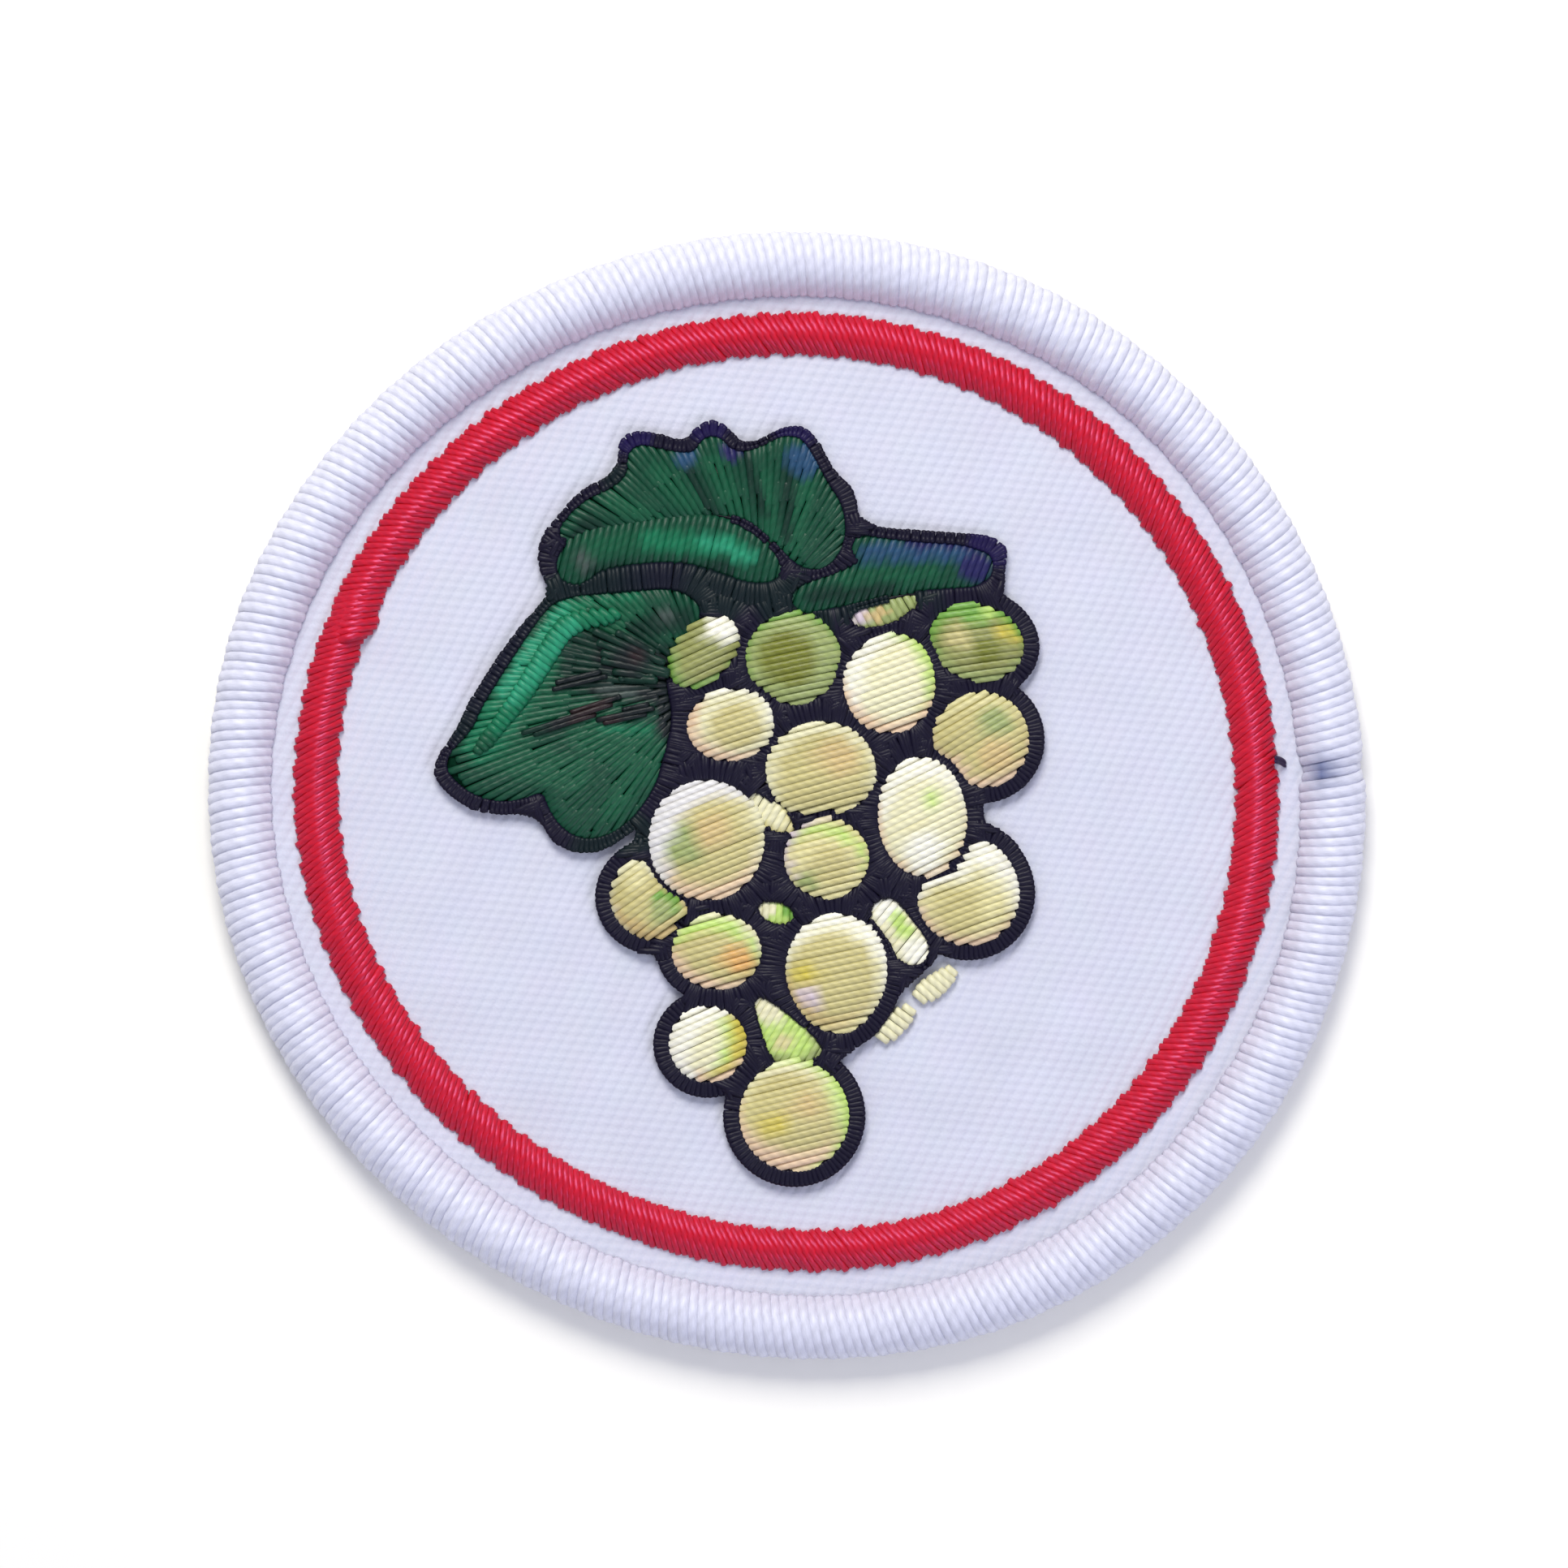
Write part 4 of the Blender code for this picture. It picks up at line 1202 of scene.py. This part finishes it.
def soft_waves(x, y, count, shortest, longest, seed):
    """A gentle uneven field between about -1 and 1: the sum of a few plane waves in random directions."""
    draw = np.random.default_rng(seed)
    field = np.zeros_like(x)
    for _ in range(count):
        heading = draw.uniform(0, math.pi)
        length = draw.uniform(shortest, longest)
        phase = draw.uniform(0, 2 * math.pi)
        field += np.sin(2 * math.pi * (x * math.cos(heading) + y * math.sin(heading)) / length + phase)
    return field / math.sqrt(count)


wander = RIB_WANDER * soft_waves(cloth_x, cloth_y, 6, 3, 9, 7)
rib = np.abs(np.sin(math.pi * (across_rib + wander) / RIB_PITCH)) ** 0.8
cloth_z = ground_high - RIB_DEPTH * (1 - rib) + CLOTH_SWELL * soft_waves(cloth_x, cloth_y, 8, 2, 7, 8)
number = np.arange(ROWS * COLUMNS).reshape(ROWS, COLUMNS)
top_faces = quads_of(number[:-1, :-1], number[:-1, 1:], number[1:, 1:], number[1:, :-1])
cloth_points = np.column_stack([cloth_x.ravel(), cloth_y.ravel(), cloth_z.ravel()])
cloth_map = np.column_stack([along_rib.ravel(), across_rib.ravel()])
rim_order = np.concatenate([number[0, :-1], number[:-1, -1], number[-1, :0:-1], number[:0:-1, 0]])
under = np.arange(len(rim_order)) + len(cloth_points)
under_points = np.column_stack([cloth_points[rim_order][:, :2], np.full(len(rim_order), ground_low)])
wall = quads_of(under, np.roll(under, -1), np.roll(rim_order, -1), rim_order)
all_points = np.concatenate([cloth_points, under_points])
all_map = np.concatenate([cloth_map, cloth_map[rim_order]])
x, y = all_points[:, 0], all_points[:, 1]
mottle = 1 + 0.012 * soft_waves(x, y, 10, 1.5, 6, 9)
warm = 1 + 0.006 * np.column_stack([soft_waves(x, y, 8, 1.2, 5, seed) for seed in (11, 12, 13)])
cloth_faces = [top_faces, wall, under[::-1][None]]
cloth_shell = {
    "points": all_points,
    "faces": cloth_faces,
    "maps": [all_map[group] for group in cloth_faces],
    "tints": CLOTH_DYE * mottle[:, None] * warm,
}


def cloth_material(name, roughness, yarn, relief):
    """Woven yarns: along the rib, short floats swell and sink; a fine noise adds the fibres."""
    wave = (2 * math.pi / yarn, math.pi / RIB_PITCH, 0)
    shine = {"Sheen Weight": 0.1, "Specular IOR Level": 0.2}
    spread = (roughness - 0.05, roughness + 0.08)
    return fibre_material(name, wave, CLOTH_FIBRES, 0.3, CLOTH_SHADE, relief, spread, shine)


twill = cloth_material("pale_twill_cloth", 0.78, 0.42, 0.5)
ground = add_piece("ground_cloth", [cloth_shell], twill, ["ground_twill"])
cloth_area = float(abs(signed_area(cloth_points[rim_order][:, :2]))) * MM**2

# %% [markdown]
# ## The backing
#
# Under the twill lies a disc of stiff pressed fibre that keeps the patch flat. It is what the back of the
# patch shows, crossed by the white bobbin threads that lock every stitch from below, so the embroidery
# reads there as a pale mirrored ghost of itself.

# %% Press the backing
BACK_LEVEL = 0.13
BACK_DYE = srgb(226, 224, 220)
RINGS, SPOKES = 44, 180
back_radius = radius_of(outlines_of("backing_stabiliser")[0])
back_high = low_and_high("backing_stabiliser")[1]
spoke = np.linspace(0, 2 * math.pi, SPOKES, endpoint=False)
share = np.linspace(0.02, 1, RINGS)
back_reach = share[:, None] * back_radius(spoke)[None, :]
back_x, back_y = back_reach * np.cos(spoke), back_reach * np.sin(spoke)
back_z = BACK_LEVEL + CLOTH_SWELL * soft_waves(back_x, back_y, 10, 1.5, 6, 21)
below = np.column_stack([back_x.ravel(), back_y.ravel(), back_z.ravel()])
above = np.column_stack([back_x[-1], back_y[-1], np.full(SPOKES, back_high)])
number = np.arange(RINGS * SPOKES).reshape(RINGS, SPOKES)
lid = np.arange(SPOKES) + RINGS * SPOKES
spoke_next = np.roll(number, -1, axis=1)
under_faces = quads_of(number[:-1], spoke_next[:-1], spoke_next[1:], number[1:])
side_faces = quads_of(number[-1], spoke_next[-1], np.roll(lid, -1), lid)
back_points = np.concatenate([below, above])
groups = [under_faces, side_faces, number[0][::-1][None], lid[None]]
back_mottle = 1 + 0.01 * soft_waves(back_points[:, 0], back_points[:, 1], 9, 1, 5, 22)
back_shell = {
    "points": back_points,
    "faces": groups,
    "maps": [back_points[group][:, :, :2] for group in groups],
    "tints": dyed(BACK_DYE, back_points) * back_mottle[:, None],
}
pressed = cloth_material("pressed_backing", 0.85, 0.9, 0.8)
backing = add_piece("backing_cloth", [back_shell], pressed, ["backing_stabiliser"])
back_area = float(abs(signed_area(above[:, :2]))) * MM**2

# %% Pull the bobbin threads
BOBBIN_LEVEL = 0.115
BOBBIN_SAG = 0.035
BOBBIN_HEIGHT = 0.12
BOBBIN_END_LIFT = 0.05
DRAW_IN = (0.12, 0.30)
BOBBIN_DYE = srgb(236, 236, 240)
bobbin_starts = np.concatenate([starts for starts, _ in bobbin_runs] + [ring_starts])
bobbin_ends = np.concatenate([ends for _, ends in bobbin_runs] + [ring_ends])
draw_in = rng.uniform(*DRAW_IN, (len(bobbin_starts), 1))
middle = (bobbin_starts + bobbin_ends) / 2
bobbin_starts = middle + (bobbin_starts - middle) * (1 - draw_in)
bobbin_ends = middle + (bobbin_ends - middle) * (1 - draw_in)
bobbin_plan, bobbin_share = plan_points(bobbin_starts, bobbin_ends, 4)
bobbin_level = BOBBIN_LEVEL + BOBBIN_HEIGHT / 2 - BOBBIN_SAG * np.sin(math.pi * bobbin_share)
bobbin_levels = np.broadcast_to(bobbin_level, bobbin_plan.shape[:2])
bobbin_lift = np.full((len(bobbin_plan), 2), -BOBBIN_END_LIFT)
bobbin_dyes = dyed(BOBBIN_DYE, bobbin_plan)
bobbin_threads = lay_threads(
    bobbin_plan, bobbin_levels, bobbin_lift, bobbin_dyes, width=0.30, height=BOBBIN_HEIGHT, sides=5
)
add_piece("bobbin_threads", [bobbin_threads], polyester_white)

# %% [markdown]
# ## The overlocked edge
#
# The rim is wrapped by a thick white thread that goes over the top, round the edge and back underneath,
# some three hundred and fifty times. Each wrap is the same profile carried a little further round, leaning
# as it goes; small uneven swells make the bead catch the light in dots, as a hand-fed edge does. At the
# right the seam ends where it began: the bead pinches there, its crest in the dimple is painted darker as a
# painted shade, and two cut ends of dark thread stand beside it. Under the wraps a solid core, painted
# darker as shade between the wraps, keeps the light out, and a chain of small loops locks them at the back.

# %% Wrap the edge
EDGE_WIDTH = 2.75
EDGE_PITCH = 0.45
EDGE_RADIUS = 25.15
WRAP_WIDTH = 0.56
WRAP_HEIGHT = 0.24
WRAP_LEAN = 0.45
WRAP_UNEVEN = 0.02
WRAP_TONE_SPREAD = 0.015
JOIN_ANGLE = math.radians(2.9)
EDGE_DYE = srgb(222, 223, 238)
BEAD = np.array([
    (-0.10, 0.84), (0.04, 1.14), (0.32, 1.60), (0.78, 1.99), (1.36, 2.18), (1.94, 2.02), (2.36, 1.66),
    (2.60, 1.16), (2.58, 0.66), (2.30, 0.26), (1.80, 0.13), (0.95, 0.13), (0.18, 0.14), (0.06, 0.32),
])
BEAD_MIDDLE = np.array([1.37, 1.12])
DOT_PITCH = 1.8
DOT_SWELL = 0.020
DOT_WANDER = 0.8
WANDER_RUN = 7.0
BEAD_DRIFT = ((0.012, 5, 1), (0.010, 11, 2))
PINCH_DEPTH = 0.13
PINCH_WIDTH = 0.55
SWELL_RISE = 0.03
SWELL_AWAY = 1.3
SWELL_WIDTH = 0.5
edge_scale = (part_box("border_overlock")[1].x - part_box("border_overlock")[0].x) / (
    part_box("ground_twill")[1].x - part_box("ground_twill")[0].x
)


def edge_radius(angle):
    """The outer radius of the overlocked edge at an angle."""
    return ground_radius(angle) * edge_scale


def puff(angle):
    """The swell of the bead: dots nearly two millimetres apart, a slow drift, and the pinch at the join."""
    run = angle * EDGE_RADIUS
    dots = DOT_SWELL * np.cos(2 * math.pi * run / DOT_PITCH + DOT_WANDER * np.sin(run / WANDER_RUN))
    drift = sum(depth * np.sin(angle * turns + start) for depth, turns, start in BEAD_DRIFT)
    away = np.angle(np.exp(1j * (angle - JOIN_ANGLE))) * EDGE_RADIUS
    pinch = PINCH_DEPTH * np.exp(-((away / PINCH_WIDTH) ** 2))
    shoulders = SWELL_RISE * np.exp(-(((np.abs(away) - SWELL_AWAY) / SWELL_WIDTH) ** 2))
    return 1 + dots + drift - pinch + shoulders


def edge_points(angle, profile, scale):
    """Points of a bead profile carried to an angle: radius = edge radius - bead width + distance out."""
    swelled = BEAD_MIDDLE + (profile - BEAD_MIDDLE) * scale[..., None]
    swelled[..., 1] = np.maximum(swelled[..., 1], WRAP_HEIGHT / 2)
    radius = edge_radius(angle) - EDGE_WIDTH + swelled[..., 0]
    return np.stack([radius * np.cos(angle), radius * np.sin(angle), swelled[..., 1]], axis=-1)


wrap_count = int(2 * math.pi * EDGE_RADIUS / EDGE_PITCH)
wrap_angle = JOIN_ANGLE + 2 * math.pi * np.arange(wrap_count) / wrap_count
wrap_angle = wrap_angle + rng.normal(0, WRAP_UNEVEN, wrap_count) * EDGE_PITCH / EDGE_RADIUS
lean = (WRAP_LEAN * np.sin(math.pi * np.linspace(-0.5, 0.5, len(BEAD)))) / EDGE_RADIUS
wrap_turn = wrap_angle[:, None] + lean[None, :]
wrap_paths = edge_points(wrap_turn, np.broadcast_to(BEAD, (wrap_count, *BEAD.shape)), puff(wrap_turn))
wrap_side = -np.stack([-np.sin(wrap_turn), np.cos(wrap_turn), np.zeros_like(wrap_turn)], axis=-1)
# The crest of the dimple at the join is dyed darker below, a painted shade.
DIMPLE = np.array([23.60, 1.05])
DIMPLE_SIZE = np.array([0.62, 0.72])
STAIN_DEPTH = np.array([0.86, 0.82, 0.66])
from_dimple = np.linalg.norm((wrap_paths[:, :, :2] - DIMPLE) / DIMPLE_SIZE, axis=2)
stain = np.exp(-(from_dimple**2))[:, :, None] * (wrap_paths[:, :, 2:3] > 1)
wrap_tone = 1 + rng.normal(0, WRAP_TONE_SPREAD, (wrap_count, 1, 1))
wrap_colour = EDGE_DYE * wrap_tone * (1 - stain * STAIN_DEPTH)
wraps = thread_tubes(wrap_paths, wrap_side, WRAP_WIDTH, WRAP_HEIGHT, wrap_colour, sides=6)

# %% Fill the bead and chain its inner edge
CORE_STEPS = 240
CORE_SHARE = 0.93
# The core is dyed darker than the thread by this share, a painted shade between the wraps.
CORE_SHADE = 0.7
CHAIN_RADIUS = 22.4
CHAIN_THREAD = (0.2, 0.16)
LOOP_REACH = 0.62
LOOP_OUT = -0.12
LOOP_SPREAD = 0.16
LOOP_LEVEL = 0.12
LOOP_WAVE = 0.02
core_turn = np.linspace(0, 2 * math.pi, CORE_STEPS, endpoint=False)
core_profile = np.broadcast_to(BEAD_MIDDLE + (BEAD - BEAD_MIDDLE) * CORE_SHARE, (CORE_STEPS, *BEAD.shape))
core_angles = np.broadcast_to(core_turn[:, None], core_profile.shape[:2])
core_grid = edge_points(core_angles, core_profile, puff(core_angles))
number = np.arange(CORE_STEPS * len(BEAD)).reshape(CORE_STEPS, len(BEAD))
beyond = np.roll(number, -1, axis=0)
core_faces = quads_of(number, beyond, np.roll(beyond, -1, axis=1), np.roll(number, -1, axis=1))
core_points = core_grid.reshape(-1, 3)
core = {
    "points": core_points,
    "faces": [core_faces],
    "maps": [core_points[core_faces][:, :, :2]],
    "tints": dyed(EDGE_DYE * CORE_SHADE, core_points),
}

chain_count = wrap_count // 2
chain_angle = 2 * math.pi * np.arange(chain_count) / chain_count
chain_width = 2 * math.pi * CHAIN_RADIUS / chain_count
loop_turn = np.linspace(0, 2 * math.pi, 9, endpoint=False)
chain_run = (LOOP_REACH * chain_width * np.cos(loop_turn) / CHAIN_RADIUS)[None, :] + chain_angle[:, None]
chain_out = LOOP_OUT + LOOP_SPREAD * np.sin(loop_turn)
chain_radius = edge_radius(chain_run) - EDGE_WIDTH + chain_out[None, :]
chain_level = LOOP_LEVEL + LOOP_WAVE * np.cos(2 * loop_turn)
chain_x, chain_y = chain_radius * np.cos(chain_run), chain_radius * np.sin(chain_run)
chain_paths = np.stack(np.broadcast_arrays(chain_x, chain_y, chain_level), axis=-1)
chain_direction = unit(np.gradient(chain_paths, axis=1))
chain_side = np.cross(chain_direction, np.array([0, 0, 1]))
chain = thread_tubes(chain_paths, chain_side, *CHAIN_THREAD, dyed(EDGE_DYE, chain_paths), sides=5)
add_piece("edge_overlock", [wraps, core, chain], polyester_white, ["border_overlock"])

# %% Leave the dark thread end at the join
TAIL_DYE = srgb(52, 34, 66)
TAIL_START = np.array([21.45, 1.50])
TAIL_END = np.array([21.95, 1.28])
TAIL_SPACING = 0.15
TAIL_BOW = 0.05
TAIL_CLEAR = 0.05
TAIL_LIFT = 0.75
TAIL_HUMP = 0.10
TAIL_SIZE = (0.22, 0.16)
tail_share = np.linspace(0, 1, 9)
tail_bow = np.sin(math.pi * tail_share)
tail_plan = TAIL_START + (TAIL_END - TAIL_START) * tail_share[:, None]
tail_plan[:, 1] += TAIL_BOW * tail_bow
tail_level = ground_high + TAIL_CLEAR + TAIL_LIFT * (1 - tail_share) ** 2 + TAIL_HUMP * tail_bow
tail_paths = np.array([np.column_stack([tail_plan + (0, shift), tail_level]) for shift in (0, TAIL_SPACING)])
tail = thread_tubes(tail_paths, np.array([0, 1, 0]), *TAIL_SIZE, dyed(TAIL_DYE, tail_paths))
add_piece("thread_end", [tail], rayon_navy)
